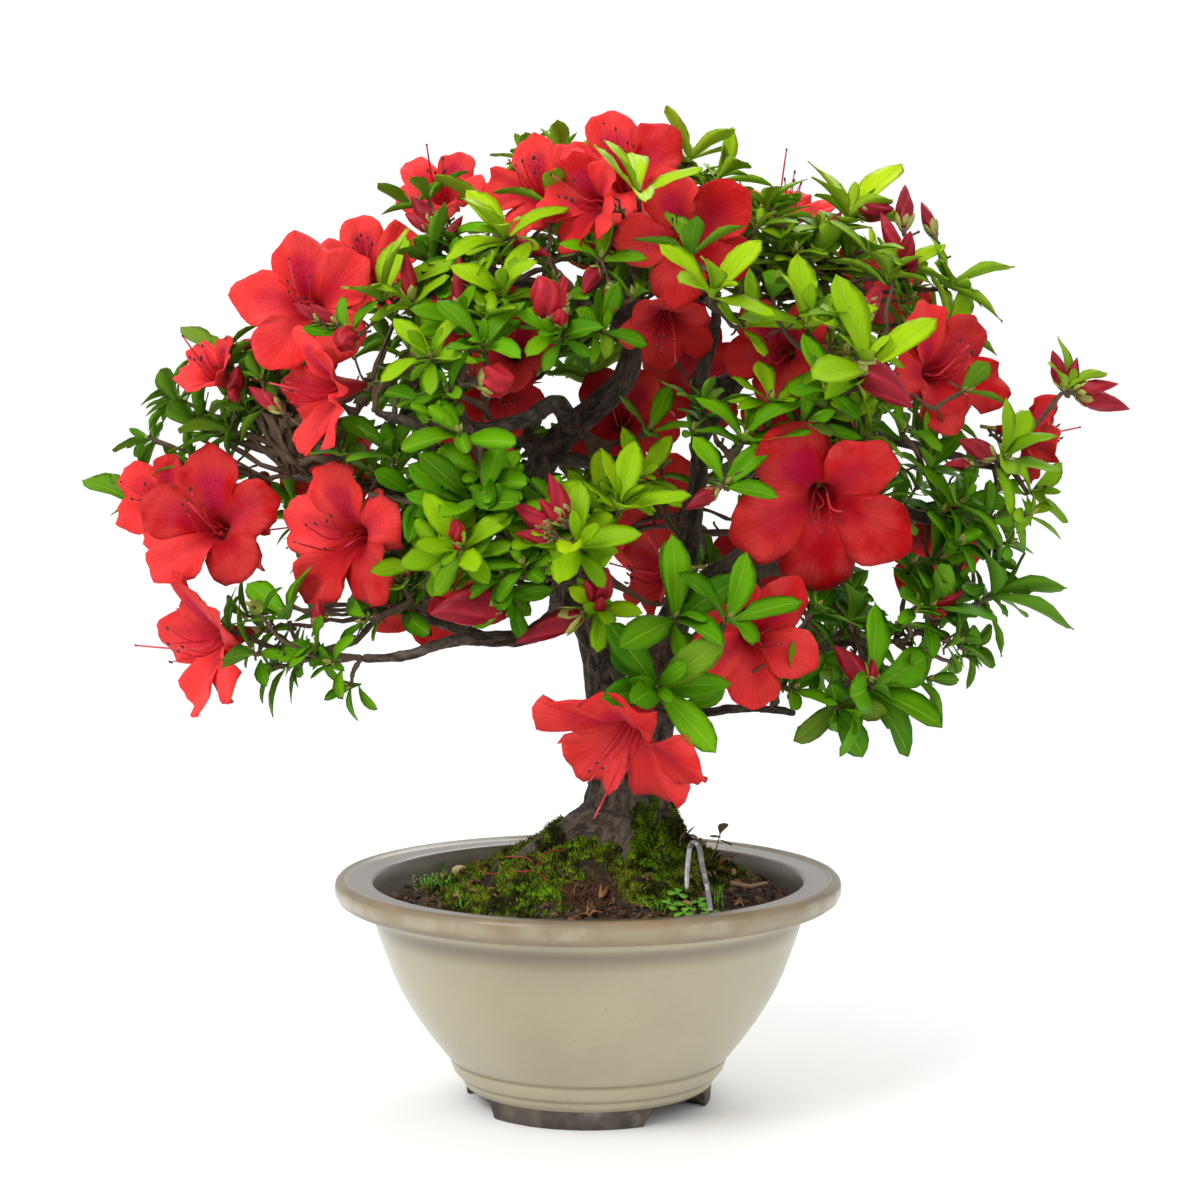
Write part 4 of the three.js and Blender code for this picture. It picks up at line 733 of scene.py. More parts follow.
def mossBare(x, y):                              # the bare fibrous patch
    return ((x - 1) / 12) ** 2 + ((y + 50) / 9) ** 2 < 1


# wood: rows of across, rise, depth and radius, as the limbs lie seen from the tree's front

limbs = {
    "mainStem": [(14, 71, 0, 13), (14, 111, -2, 17.5), (13, 125, -3, 15.5), (12, 139, -3, 12),
        (9, 158, -3, 9.5), (7, 175, -3, 9), (4, 191, -2, 8.5), (-4, 212, 2, 8), (-17, 233, 8, 7.6),
        (-23, 249, 10, 7), (-17, 268, 8, 6.4), (0, 285, 2, 5.8), (14, 298, -4, 5.4), (19, 315, -6, 4.8),
        (17, 331, 0, 3.8), (20, 347, 6, 3), (18, 358, 5, 2.4)],
    "secondStem": [(22, 95, 4, 13), (24, 125, 4, 12), (26, 143, 3, 9.5), (28, 166, 4, 9),
        (31, 187, 6, 8.2), (38, 206, 8, 7), (40, 220, 10, 5.4), (43, 241, 12, 4.6), (46, 266, 14, 4),
        (45, 294, 12, 3.6), (51, 315, 8, 3), (53, 329, -4, 2.3)],
    "rootLeft": [(12, 115, -4, 14), (-1, 112, -8, 10.5), (-16, 105, -11, 7.5), (-42, 86, -14, 3)],
    "rootRight": [(26, 114, 2, 12), (36, 101, 6, 8), (45, 86, 10, 4.5)],
    "rootFront": [(14, 110, -10, 13), (11, 97, -26, 9), (7, 82, -42, 5)],
    "rootBack": [(17, 111, 8, 13), (19, 99, 30, 8), (23, 83, 48, 4)],
    "lowLeft": [(-3, 209, 0, 5), (-14, 200, -14, 4.6), (-26, 193, -30, 4.2), (-41, 192, -42, 3.4),
        (-57, 191, -50, 2.8), (-76, 185, -55, 2.3), (-94, 184, -55, 2)],
    "lowLeftFork": [(-41, 192, -42, 3), (-57, 197, -38, 2.5), (-72, 202, -30, 2.1), (-83, 207, -24, 1.7)],
    "leftEdge": [(-20, 241, 9, 5), (-45, 249, -5, 4), (-73, 253, -18, 3.2), (-102, 257, -18, 2.5),
        (-122, 259, -8, 2)],
    "midLeft": [(-7, 279, 4, 4.8), (-13, 289, -22, 4.2), (-27, 282, -48, 3.6), (-49, 278, -62, 3.2),
        (-67, 280, -66, 2.7), (-80, 283, -65, 2.3), (-88, 286, -64, 1.9)],
    "midLeftRiser": [(-49, 278, -62, 3), (-54, 288, -70, 2.2)],
    "upperLeft": [(19, 317, -6, 4.4), (1, 331, -20, 3.6), (-24, 338, -32, 3.1), (-44, 344, -30, 2.6),
        (-61, 348, -22, 2.1)],
    "topLeftRiser": [(-18, 336, -29, 2.8), (-16, 347, -48, 2)],
    "rightTop": [(46, 274, 14, 3.8), (62, 298, 22, 3.4), (79, 319, 16, 3), (92, 333, 4, 2.6),
        (100, 343, -6, 2.1)],
    "rightArm": [(38, 206, 8, 6.2), (48, 215, 2, 5.3), (61, 224, -6, 4.8), (73, 234, -14, 4.7),
        (83, 249, -20, 4.5), (87, 266, -24, 4.2), (93, 279, -30, 3.8), (108, 289, -40, 3),
        (117, 294, -48, 2.3)],
    "rightLow": [(83, 248, -20, 4.2), (104, 250, -18, 3.8), (120, 247, -18, 3.4), (139, 242, -22, 3),
        (154, 241, -30, 2.3)],
    "rightEdge": [(92, 277, -28, 3.2), (116, 276, -18, 2.8), (145, 269, -10, 2.4), (170, 262, -8, 2)],
    "centreRight": [(73, 234, -14, 4), (68, 248, -40, 2.8), (64, 259, -54, 2.2)],
    "lowRightOuter": [(31, 187, 6, 4), (59, 190, -6, 2.8), (88, 188, -22, 2.3), (113, 191, -36, 1.9),
        (127, 191, -42, 1.6)],
    "lowRight": [(7, 180, -6, 4), (11, 181, -14, 3.4), (15, 171, -23, 3.1), (24, 164, -27, 2.8),
        (46, 161, -32, 2.4), (67, 163, -36, 2.1), (86, 161, -40, 1.8)],
    "lowCentre": [(28, 166, 2, 4.5), (25, 176, -20, 3.2), (21, 185, -42, 2.4)],
    "centre": [(-14, 200, -14, 4.2), (-13, 208, -42, 3.2), (-15, 214, -64, 2.4)],
    "centreLeft": [(-45, 249, -5, 3.6), (-51, 250, -32, 2.8), (-55, 247, -54, 2.2)],
    "innerCentre": [(-17, 268, 8, 4.4), (1, 265, -8, 3), (14, 266, -22, 2.3)],
    "backLeftLow": [(-9, 222, 6, 5), (-34, 222, 45, 3.6), (-63, 224, 76, 2.8), (-89, 228, 86, 2.1)],
    "backLeftHigh": [(-17, 268, 8, 5), (-36, 282, 30, 3.4), (-61, 295, 46, 2.8), (-85, 304, 52, 2.1)],
    "backCentreLow": [(40, 219, 10, 5), (42, 231, 48, 3.4), (44, 243, 84, 2.7), (41, 249, 102, 2.1)],
    "backRightLow": [(48, 215, 2, 5), (72, 220, 38, 3.4), (100, 224, 62, 2.7), (124, 231, 68, 2.1)],
    "backRightHigh": [(45, 294, 12, 3.6), (71, 303, 34, 3), (99, 308, 46, 2.5), (119, 312, 46, 2.1)],
    "backTop": [(19, 315, -6, 4.4), (21, 326, 26, 3.2), (20, 338, 48, 2.6), (17, 343, 58, 2.1)],
}

bark = {"voxel": 1.25, "steps": 6, "knots": 0.5}


def barkMaterial():
    material, tree, shader = newMaterial("trunk_bark")
    point = objectPoint(tree)
    onLimb = addNode(tree, "Attribute", attribute_name="barkMap").outputs["Vector"]
    stretched = addNode(tree, "Mapping", {"Vector": onLimb, "Scale": (1, 1, 0.4)}).outputs[0]
    tone = useGroup(tree, mottle, {
        "Vector": stretched, "Scale": 420.0, "Detail": 6.0, "Low": 0.34, "High": 0.70,
        "Dark": (0.026, 0.018, 0.012), "Light": (0.125, 0.090, 0.064)})
    patches = useGroup(tree, mottle, {"Vector": point, "Scale": 60.0, "Low": 0.48, "High": 0.72})
    color = mixOf(tree, timesOf(tree, patches["Mask"], 0.38), tone["Color"], (0.185, 0.140, 0.102))
    low = rampOf(tree, addNode(tree, "SeparateXYZ", {0: point}).outputs[2], 0.125, 0.095, 0.0, 0.5)
    color = mixOf(tree, low, color, (0.175, 0.135, 0.098))
    swirl = addNode(tree, "TexNoise", {"Vector": stretched, "Scale": 210.0, "Detail": 3.0}).outputs[0]
    crack = rampOf(tree, mathOf(tree, "ABSOLUTE", mathOf(tree, "SUBTRACT", swirl, 0.5)), 0.0, 0.028, 1.0, 0.0)
    color = mixOf(tree, timesOf(tree, crack, 0.35), color, (0.014, 0.009, 0.006))
    flakes = useGroup(tree, mottle, {
        "Vector": point, "Scale": 620.0, "Detail": 2.0, "Low": 0.60, "High": 0.68})
    color = mixOf(tree, timesOf(tree, flakes["Mask"], 0.25), color, (0.26, 0.21, 0.16))
    bumps = useGroup(tree, grain, {"Vector": stretched, "Fine": 1100.0, "Broad": 420.0, "Share": 0.9})
    height = mathOf(tree, "MULTIPLY_ADD", crack, -0.45, bumps["Height"])
    finishShader(tree, shader, color, rampOf(tree, tone["Mask"], 0, 1, 0.95, 0.8), height, 0.9, 1.2)
    return material


def limbLine(rows):                              # points and radii of a limb, smoothed
    fine = curveThrough([(*fromFront(*row[:3]), row[3] * mm) for row in rows], bark["steps"])
    return [Vector(row[:3]) for row in fine], [row[3] for row in fine]


def mapBark(bm):                                 # each place on the bark, read across and along its own limb
    rows = []
    for limb in limbs.values():
        points, radii = limbLine(limb)
        side = sideOf((points[1] - points[0]).normalized())
        length = 0
        for i, point in enumerate(points):
            ahead = (points[min(i + 1, len(points) - 1)] - points[max(i - 1, 0)]).normalized()
            side = (side - ahead * side.dot(ahead)).normalized()
            length += (point - points[max(i - 1, 0)]).length
            rows.append((point, radii[i], side, ahead.cross(side), ahead, length))
    tree = kdtree.KDTree(len(rows))
    for i, row in enumerate(rows):
        tree.insert(row[0], i)
    tree.balance()
    layer = bm.verts.layers.float_color.new("barkMap")
    for vert in bm.verts:
        near = min(tree.find_n(vert.co, 8), key=lambda found: found[2] - rows[found[1]][1])
        point, _, side, cross, ahead, length = rows[near[1]]
        away = vert.co - point
        vert[layer] = (away.dot(side), away.dot(cross), length + away.dot(ahead), 1)


def makeWood():
    bm = bmesh.new()
    for rows in limbs.values():
        points, radii = limbLine(rows)
        thick = rows[0][3] > 6 or rows[1][3] > 6
        sweep(bm, points, [radius * 0.96 for radius in radii], 18 if thick else 8)
    bm = withModifiers(bm, ("REMESH", {"mode": "VOXEL", "voxel_size": bark["voxel"] * mm, "adaptivity": 0.0}),
                       ("SMOOTH", {"iterations": 4, "factor": 0.5}))
    bm.normal_update()
    mapBark(bm)
    layer = bm.verts.layers.float_color["barkMap"]
    shifts = []
    for vert in bm.verts:                        # furrows along the trunk and knots on the limbs
        x, y, z = vert.co / mm
        a, b, along = (value / mm for value in vert[layer][:3])
        low = max(0, min(1, (200 - z) / 60))
        furrow = noise.noise(Vector((a / 5.5, b / 5.5, along / 38)))
        plate = noise.noise(Vector((a / 2.6, b / 2.6, along / 11)))
        knot = noise.noise(Vector((x / 5.5, y / 5.5, z / 5.5)))
        fine = noise.noise(Vector((a / 1.3, b / 1.3, along / 5)))
        amount = low * (1.3 * furrow + 0.7 * plate) + 0.28 * fine
        amount += (1 - 0.5 * low) * bark["knots"] * max(knot, -0.2)
        shifts.append(vert.normal * amount * mm)
    for vert, shift in zip(bm.verts, shifts):
        vert.co += shift
    wood = asPiece("trunk_wood", bm, [barkMaterial()])
    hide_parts("trunk_and_branches")
    return wood


tieWire = {
    "radius": 1, "sides": 12,
    "line": [(41, 80, -40), (41, 93, -41), (42, 104, -43), (43.5, 107, -45), (46, 105, -47), (47.5, 97, -50),
             (49.5, 88, -55), (51, 78, -60)],
}


def makeWire():
    bm = bmesh.new()
    line = [Vector(row) for row in curveThrough([tuple(fromFront(*row)) for row in tieWire["line"]], 6)]
    sweep(bm, line, [tieWire["radius"] * mm] * len(line), tieWire["sides"])
    metal, tree, shader = newMaterial("aluminium", Metallic=0.9)
    point = objectPoint(tree)
    tone = useGroup(tree, mottle, {
        "Vector": point, "Scale": 300.0, "Dark": (0.36, 0.36, 0.37), "Light": (0.60, 0.60, 0.62)})
    bumps = useGroup(tree, grain, {"Vector": point, "Fine": 3000.0, "Broad": 500.0})
    rough = rampOf(tree, tone["Mask"], 0, 1, 0.62, 0.5)
    finishShader(tree, shader, tone["Color"], rough, bumps["Height"], 0.3, 0.3)
    wire = asPiece("tie_wire_loop", bm, [metal])
    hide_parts("tie_wire")


def dressScreen():                               # the plastic mesh stays as it is and gets its finish
    plastic, tree, shader = newMaterial("screen_plastic")
    point = objectPoint(tree)
    tone = useGroup(tree, mottle, {"Vector": point, "Scale": 400.0, "Dark": (0.012, 0.013, 0.015),
                                   "Light": (0.03, 0.032, 0.036)})
    bumps = useGroup(tree, grain, {"Vector": point, "Fine": 2500.0, "Broad": 600.0})
    rough = rampOf(tree, tone["Mask"], 0, 1, 0.6, 0.75)
    finishShader(tree, shader, tone["Color"], rough, bumps["Height"], 0.3, 0.3)
    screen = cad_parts["drainage_screen"]
    screen.data.materials.clear()
    screen.data.materials.append(plastic)


# blooms

bloomShape = {
    "tubeLength": 0.34, "across": 16, "along": 12, "thickness": 0.35,
    "tube": [(0.024, 0), (0.045, 0.06), (0.06, 0.12), (0.078, 0.18), (0.1, 0.24)],
    "flare": [(0.1, 0.24), (0.18, 0.315), (0.27, 0.365), (0.35, 0.392), (0.42, 0.405), (0.5, 0.41),
              (0.56, 0.40)],
}


def readRow(row, value):                         # straight steps between pairs
    for (a, b), (c, d) in zip(row, row[1:]):
        if value <= c:
            return b + (d - b) * max(0, value - a) / (c - a)
    return row[-1][1]


def bloomDraws(seed):                            # the same draws as the solid's, so that the lobes agree
    draw = makeDraw(seed)
    out, wave = (-0.01, 0.02), (-0.045, 0.045)
    spin = draw(0, fullTurn)
    lobes = [{"middle": draw(*out), "leftOut": draw(*out), "leftUp": draw(*wave), "tipUp": draw(*wave),
              "rightOut": draw(*out), "rightUp": draw(*wave)} for _ in range(5)]
    tips = []
    for i in range(5):
        reach = 0.68 if i == 0 else 0.54 + draw(-0.03, 0.03)
        tips.append((0.085, reach, i + 0.5 + draw(-0.3, 0.3)))
    for lobe in lobes:
        lobe.update(long=draw(0.86, 1.06), curl=draw(-0.075, 0.04), sway=draw(-0.07, 0.07),
                    round=draw(1.4, 2.3), tint=draw(-0.55, 0.55), twist=draw(-0.07, 0.07),
                    cup=draw(-0.07, 0.05))
    return spin, lobes, tips


def petalPlace(bloom, lobe, u, t):               # radius, height and turn on one lobe, in shares of the span
    split = 0.26
    rows = bloom["lobes"][lobe]
    if t <= split:
        height = 0.24 * t / split
        radius = next(r0 + (r1 - r0) * (height - z0) / (z1 - z0) for (r0, z0), (r1, z1)
                      in zip(bloomShape["tube"], bloomShape["tube"][1:]) if height <= z1 + 1e-9)
        return radius * (1 - 0.05 * math.cos(fullTurn * u) * t / split), height, lobe + u
    v = (t - split) / (1 - split)
    edge = abs(2 * u - 1)
    out = rows["leftOut"] if u < 0.5 else rows["rightOut"]
    rim = 0.25 + (0.25 * rows["long"] + 1.3 * out * edge) * (1 - edge ** rows["round"]) ** 0.66
    rim += 0.018 * max(0, 1 - edge * 4) + 0.022 * noise.noise(Vector((u * 5, lobe * 3.1, bloom["phase"])))
    fringe = noise.noise(Vector((u * 19, lobe * 5.3, bloom["phase"] + 4)))
    rim += (0.008 + 0.4 * max(0, bloom["ruffle"] - 0.03)) * fringe
    radius = 0.1 + (rim - 0.1) * v
    height = readRow(bloomShape["flare"], radius)
    bend = readRow([(0, 0), (0.24, rows["leftUp"]), (0.5, rows["tipUp"]), (0.76, rows["rightUp"]), (1, 0)], u)
    ruffle = math.sin(15 * u + 2.1 * lobe + bloom["phase"])
    ruffle += 0.6 * math.sin(27 * u - lobe + 2 * bloom["phase"])
    height += bend * v * v + bloom["ruffle"] * ruffle * v ** 2.2 * (0.35 + 0.65 * edge)
    height -= 0.035 * (1 - edge) ** 2 * v * (1 - v) * 4
    height += (0.035 + rows["twist"] * v) * (u - 0.5) * 2 * v * (1 - edge ** 6) + rows["middle"] * v * (1 - v)
    height += rows["curl"] * v ** 2.5 + (rows["cup"] - 0.03) * edge ** 2 * (1 - edge ** 8) * v * v
    height += 0.012 * v * noise.noise(Vector((u * 11, v * 2.5, lobe * 2.7 + bloom["phase"])))
    beyond = max(0, radius - 0.1)
    opening = bloom["open"]
    turn = lobe + 0.5 + (u - 0.5) * (1 + 0.15 * v) + rows["sway"] * v
    return min(radius, 0.1) + beyond * (0.35 + 0.65 * opening), height + beyond * 0.9 * (1 - opening), turn


def bloomPoint(bloom, radius, height, turn):
    angle = bloom["spin"] + turn * fullTurn / 5
    reach = radius * bloom["span"]
    return (bloom["base"] + bloom["facing"] * height * bloom["span"]
            + bloom["side"] * math.cos(angle) * reach + bloom["cross"] * math.sin(angle) * reach)


def readBloom(throat, facing, span, opening, seed):
    axis = facingOf(*facing)
    spin, lobes, tips = bloomDraws(seed)
    side = sideOf(axis)
    bloom = {"facing": axis, "span": span * mm, "open": opening, "side": side, "cross": axis.cross(side),
             "spin": spin, "lobes": lobes, "tips": tips, "phase": seed * 1.7 % 6.28, "ruffle": plainRuffle,
             "base": fromFront(*throat) - axis * bloomShape["tubeLength"] * span * mm}
    rises = [(bloomPoint(bloom, 0.4, 0.4, lobe + 0.5) - bloom["base"]).z for lobe in range(5)]
    bloom["upper"] = rises.index(max(rises))
    return bloom


def addCorolla(bm, bloom, tone):
    across, along = bloomShape["across"], bloomShape["along"]
    part = tonedMesh()
    partTone, partUvs = part.verts.layers.float_color["tone"], part.loops.layers.uv["shapeMap"]
    for lobe in range(5):
        made = bmesh.ops.create_grid(part, x_segments=across, y_segments=along, size=0.5)["verts"]
        away = min((lobe - bloom["upper"]) % 5, (bloom["upper"] - lobe) % 5)
        faces = {face for vert in made for face in vert.link_faces}
        for face in faces:
            for loop in face.loops:
                loop[partUvs].uv = (loop.vert.co.x + 0.5, loop.vert.co.y + 0.5)
        for vert in made:
            u, t = vert.co.x + 0.5, vert.co.y + 0.5
            # each lobe's own tone, drawn at random, is partly painted light and shade: lit lobes coral,
            # shaded ones deep red
            tint, spotted = bloom["lobes"][lobe]["tint"], (1.0, 0.5, 0.1)[away]
            vert[partTone] = (tone + tint, spotted, random.random() * 0.2, 1)
            vert.co = bloomPoint(bloom, *petalPlace(bloom, lobe, min(max(u, 0), 1), min(max(t, 0), 1)))
    bmesh.ops.remove_doubles(part, verts=part.verts, dist=2e-5)
    bmesh.ops.recalc_face_normals(part, faces=part.faces)
    bmesh.ops.solidify(part, geom=part.faces[:], thickness=bloomShape["thickness"] * mm)
    bm.from_mesh(meshOf(part))


def addStamens(bm, bloom):
    for i, (radius, reach, turn) in enumerate(bloom["tips"] + [(0.1, 0.5, 2.9)]):
        pistil = i == 0
        reach *= 1.17 if pistil else 1.12
        rows = [(0.02, 0.05, turn), (0.04, 0.2, turn), (0.055, 0.38, turn), (radius, reach, turn)]
        line = [bloomPoint(bloom, *row) for row in rows]
        free = 1 if bloom["facing"].z > -0.5 else 0.2
        lift = upward * bloom["span"] * (0.05 + 0.03 * math.sin(3 * turn)) * free
        away = bloom["side"] * bloom["span"] * 0.04 * math.sin(5 * turn + bloom["phase"])
        for k, (rise, bow) in enumerate(((0, 0), (1 / 9, 0), (4 / 9 - 0.9, 1), (1, 0))):
            line[k] = line[k] + lift * rise + away * bow
        fine = [Vector(row) for row in curveThrough([tuple(point) for point in line], 3)]
        thick = 0.5 if pistil else 0.38
        sweep(bm, fine, [thick * mm * blendOf(1, 0.7, k / len(fine)) for k in range(len(fine))], 5, 1)
        ahead = (fine[-1] - fine[-2]).normalized()
        head = placed(fine[-1], (ahead + upward * 0.6).normalized(), sideOf(ahead))
        size = (0.55 * mm, 0.5 * mm, 0.55 * mm) if pistil else (0.5 * mm, 0.5 * mm, 1.1 * mm)
        stamp(bm, antherMesh, head @ sized(*size), 2)


def addCalyx(bm, bloom):
    base, facing, side = bloom["base"], bloom["facing"], bloom["side"]
    sweep(bm, [base - facing * 6.5 * mm, base - facing * 3 * mm, base, base + facing * 1.2 * mm],
          [0.8 * mm, 0.85 * mm, 1.3 * mm, 1.2 * mm], 7, 3)
    for k in range(5):
        way = Matrix.Rotation(k * fullTurn / 5, 3, facing) @ side
        place = placed(base, (facing + way * 0.42).normalized(), way)
        stamp(bm, sepalMesh, place @ sized(1.5 * mm, 1.3 * mm, 4.8 * mm), 3)


def smallMesh(kind, **values):
    bm = tonedMesh()
    getattr(bmesh.ops, kind)(bm, **values)
    layer = bm.verts.layers.float_color["tone"]
    for vert in bm.verts:
        vert[layer] = (0.5, 0, 0, 1)
    return meshOf(bm)


antherMesh = smallMesh("create_icosphere", subdivisions=1, radius=1)
sepalMesh = smallMesh("create_cone", cap_ends=True, segments=5, radius1=1, radius2=0.12, depth=1,
                      matrix=Matrix.Translation((0, 0, 0.5)))


def petalMaterial():
    material, tree, shader = newMaterial("azalea_petal")
    shader.inputs["Specular IOR Level"].default_value = 0.07
    shader.inputs["Sheen Weight"].default_value = 0.07
    shader.inputs["Sheen Roughness"].default_value = 0.45
    shader.inputs["Sheen Tint"].default_value = (1.0, 0.5, 0.5, 1)
    shape = addNode(tree, "UVMap", uv_map="shapeMap").outputs[0]
    u, t, _ = addNode(tree, "SeparateXYZ", {0: shape}).outputs
    tones = toneParts(tree)
    point = objectPoint(tree)
    edge = mathOf(tree, "ABSOLUTE", mathOf(tree, "SUBTRACT", u, 0.5))
    # light coral to deep red by the tone, which for each lobe is partly painted light and shade
    color = mixOf(tree, tones[0], (0.88, 0.042, 0.040), (0.42, 0.001, 0.003))
    # painted pinkish highlights in soft patches
    soft = useGroup(tree, mottle, {"Vector": point, "Scale": 70.0})
    color = mixOf(tree, timesOf(tree, soft["Mask"], 0.22), color, (0.92, 0.14, 0.13))
    fan = timesOf(tree, edge, mathOf(tree, "MULTIPLY_ADD", t, -22.0, 60.0))
    vein = mathOf(tree, "ABSOLUTE", mathOf(tree, "SINE", fan))
    lines = rampOf(tree, vein, 0.22, 0.0)
    color = mixOf(tree, timesOf(tree, lines, 0.17), color, (0.34, 0.002, 0.010))
    nearThroat = rampOf(tree, t, 0.62, 0.22)
    color = mixOf(tree, timesOf(tree, nearThroat, 0.6), color, (0.36, 0.002, 0.014))
    cells = addNode(tree, "TexVoronoi", {"Vector": point, "Scale": 900.0}, feature="F1").outputs[0]
    spots = rampOf(tree, cells, 0.40, 0.22)
    zone = timesOf(tree, rampOf(tree, edge, 0.36, 0.16), rampOf(tree, t, 0.80, 0.60))
    zone = timesOf(tree, zone, rampOf(tree, t, 0.22, 0.34))
    zone = timesOf(tree, zone, tones[1])
    color = mixOf(tree, timesOf(tree, zone, 0.55), color, (0.42, 0.0, 0.050))
    color = mixOf(tree, timesOf(tree, timesOf(tree, spots, zone), 0.6), color, (0.20, 0.0, 0.045))
    crepe = useGroup(tree, grain, {"Vector": point, "Fine": 700.0, "Broad": 230.0, "Share": 0.35})
    ridge = mathOf(tree, "MULTIPLY_ADD", lines, -0.35, crepe["Height"])
    finishShader(tree, shader, color, rampOf(tree, soft["Noise"], 0.3, 0.7, 0.5, 0.62), ridge, 0.5, 0.9)
    return material


bloomTones = {                                   # 0 is light coral, 1 deep red
    "bloom_left_large": 0.5, "bloom_left_middle": 0.35, "bloom_left_low": 0.25, "bloom_upper_left": 0.25,
    "bloom_upper_left_side": 0.3, "bloom_behind_leaf": 0.3, "bloom_crown_left": 0.2, "bloom_crown": 0.25,
    "bloom_crown_side": 0.25, "bloom_crown_right": 0.4, "bloom_right_upper": 0.6, "bloom_right_large": 0.8,
    "bloom_right_low": 0.5, "bloom_hanging": 0.15, "bloom_far_right": 0.6, "bloom_right_shaded": 0.5,
}
plainRuffle = 0.032                              # how far a petal's edge waves, in shares of the span
frilly = {
    "bloom_upper_left_side": 0.05, "bloom_crown_left": 0.055, "bloom_right_upper": 0.06,
    "bloom_left_middle": 0.045, "bloom_hanging": 0.055, "bloom_crown_side": 0.045, "bloom_left_low": 0.045,
}


def makeBlooms():
    rows = []
    for i, (name, *row) in enumerate(openBlooms):
        bloom = readBloom(*row, 101 + 13 * i)
        bloom["ruffle"] = frilly.get(name, plainRuffle)
        rows.append((name + "_petals", name, bloomTones.get(name, 0.45), bloom))
    for spray, blooms in sprayBlooms.items():
        for i, row in enumerate(blooms):
            bloom = readBloom(row[:3], row[3:6], row[6], row[7], 900 + i * 37)
            rows.append((f"bloom_{spray}_{i + 1}", None, random.uniform(0.15, 0.7), bloom))
    for name, node, tone, bloom in rows:
        bm = tonedMesh()
        addCorolla(bm, bloom, tone)
        addStamens(bm, bloom)
        addCalyx(bm, bloom)
        piece = asPiece(name, bm, bloomFinishes)
        if node:
            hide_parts(node)
    print(len(rows), "blooms are open")
    return [row[3] for row in rows]


# the open blooms: name, throat (across, rise, depth), facing (right, up, towards the eye), span, how far open

openBlooms = [
    ("bloom_left_large", (-156, 240, -22), (-0.25, 0.3, 0.92), 62, 1),
    ("bloom_left_middle", (-100, 234, -42), (-0.52, -0.05, 0.85), 64, 0.95),
    ("bloom_left_low", (-158, 190, -33), (-0.8, -0.2, 0.55), 62, 0.95),
    ("bloom_upper_left", (-115, 330, -42), (-0.12, 0.2, 0.96), 60, 1),
    ("bloom_upper_left_side", (-109, 294, -57), (-0.8, -0.15, 0.55), 56, 0.9),
    ("bloom_behind_leaf", (-90, 344, 2), (-0.05, 0.4, 0.9), 50, 0.9),
    ("bloom_crown_left", (-20, 376, -18), (-0.4, 0.4, 0.82), 50, 0.9),
    ("bloom_crown", (14, 383, -8), (-0.1, 0.45, 0.88), 58, 1),
    ("bloom_crown_side", (0, 371, -48), (-0.65, 0.1, 0.72), 44, 0.85),
    ("bloom_crown_right", (40, 357, -46), (-0.05, 0.1, 0.98), 58, 1),
    ("bloom_under_crown", (32, 321, -34), (0, -0.7, 0.7), 46, 0.8),
    ("bloom_right_shaded", (79, 310, -22), (-0.4, 0, 0.92), 50, 0.9),
    ("bloom_right_upper", (145, 303, -42), (0.45, 0.2, 0.86), 56, 0.95),
    ("bloom_far_right", (182, 276, -18), (0.85, -0.15, -0.15), 44, 0.8),
    ("bloom_right_large", (97, 247, -62), (0, -0.35, 0.93), 74, 1),
    ("bloom_right_low", (69, 192, -66), (0.15, -0.1, 0.97), 56, 1),
    ("bloom_hanging", (15, 149, -78), (-0.45, -0.75, 0.45), 72, 1),
    ("bloom_behind_trunk", (14, 282, 34), (0, 0.1, 0.95), 52, 0.95),
    ("bloom_inner_left", (-36, 293, 3), (0.35, -0.3, 0.88), 42, 0.9),
    ("bloom_side_centre", (28, 219, -48), (-0.8, -0.1, 0.35), 44, 0.8),
]

# the blooms on the sprays: throat, facing, span, how far open, for each spray

sprayBlooms = {
    "far_left": [(-177, 249, 14, -0.45, 0.1, 0.85, 46, 0.8), (-142, 241, 8, 0.8, -0.1, -0.4, 48, 0.75)],
    "left_upper_side": [(-154, 302, -18, -0.5, 0.5, 0.6, 38, 0.6)],
    "upper_left_crown": [(-60, 376, 14, -0.1, 0.55, 0.8, 44, 0.85)],
    "right_crown": [(81, 367, 38, 0.1, 0.6, 0.3, 50, 0.8)],
    "centre_low_left": [(-45, 266, -40, -0.2, 0.1, 0.9, 38, 0.8)],
    "centre_mid_left": [(-31, 311, -22, -0.1, 0.2, 0.9, 42, 0.8)],
    "back_left_low": [(-106, 262, 78, -0.6, 0.2, -0.75, 54, 0.95), (-70, 213, 96, -0.1, -0.2, -0.95, 56, 1)],
    "back_left_high": [(-118, 300, 34, -0.6, 0.4, -0.6, 52, 0.9), (-50, 329, 70, -0.2, 0.5, -0.8, 54, 1)],
    "back_centre_low": [(21, 247, 104, 0, 0, -1, 60, 1)],
    "back_right_low": [(67, 214, 92, 0.2, -0.2, -0.95, 54, 1), (141, 226, 62, 0.6, -0.1, -0.7, 52, 0.9)],
    "back_right_high": [(120, 335, 46, 0.4, 0.5, -0.7, 52, 0.95), (86, 276, 84, 0.2, 0.2, -0.95, 56, 1)],
    "back_top": [(11, 354, 64, 0, 0.6, -0.75, 54, 1), (44, 301, 92, 0.1, 0.2, -0.95, 54, 1)],
}


# leaves and buds: small shapes, one unit long, that the sprays repeat

leafShape = {"across": 4, "along": 6, "thickness": 0.012, "width": 0.18}


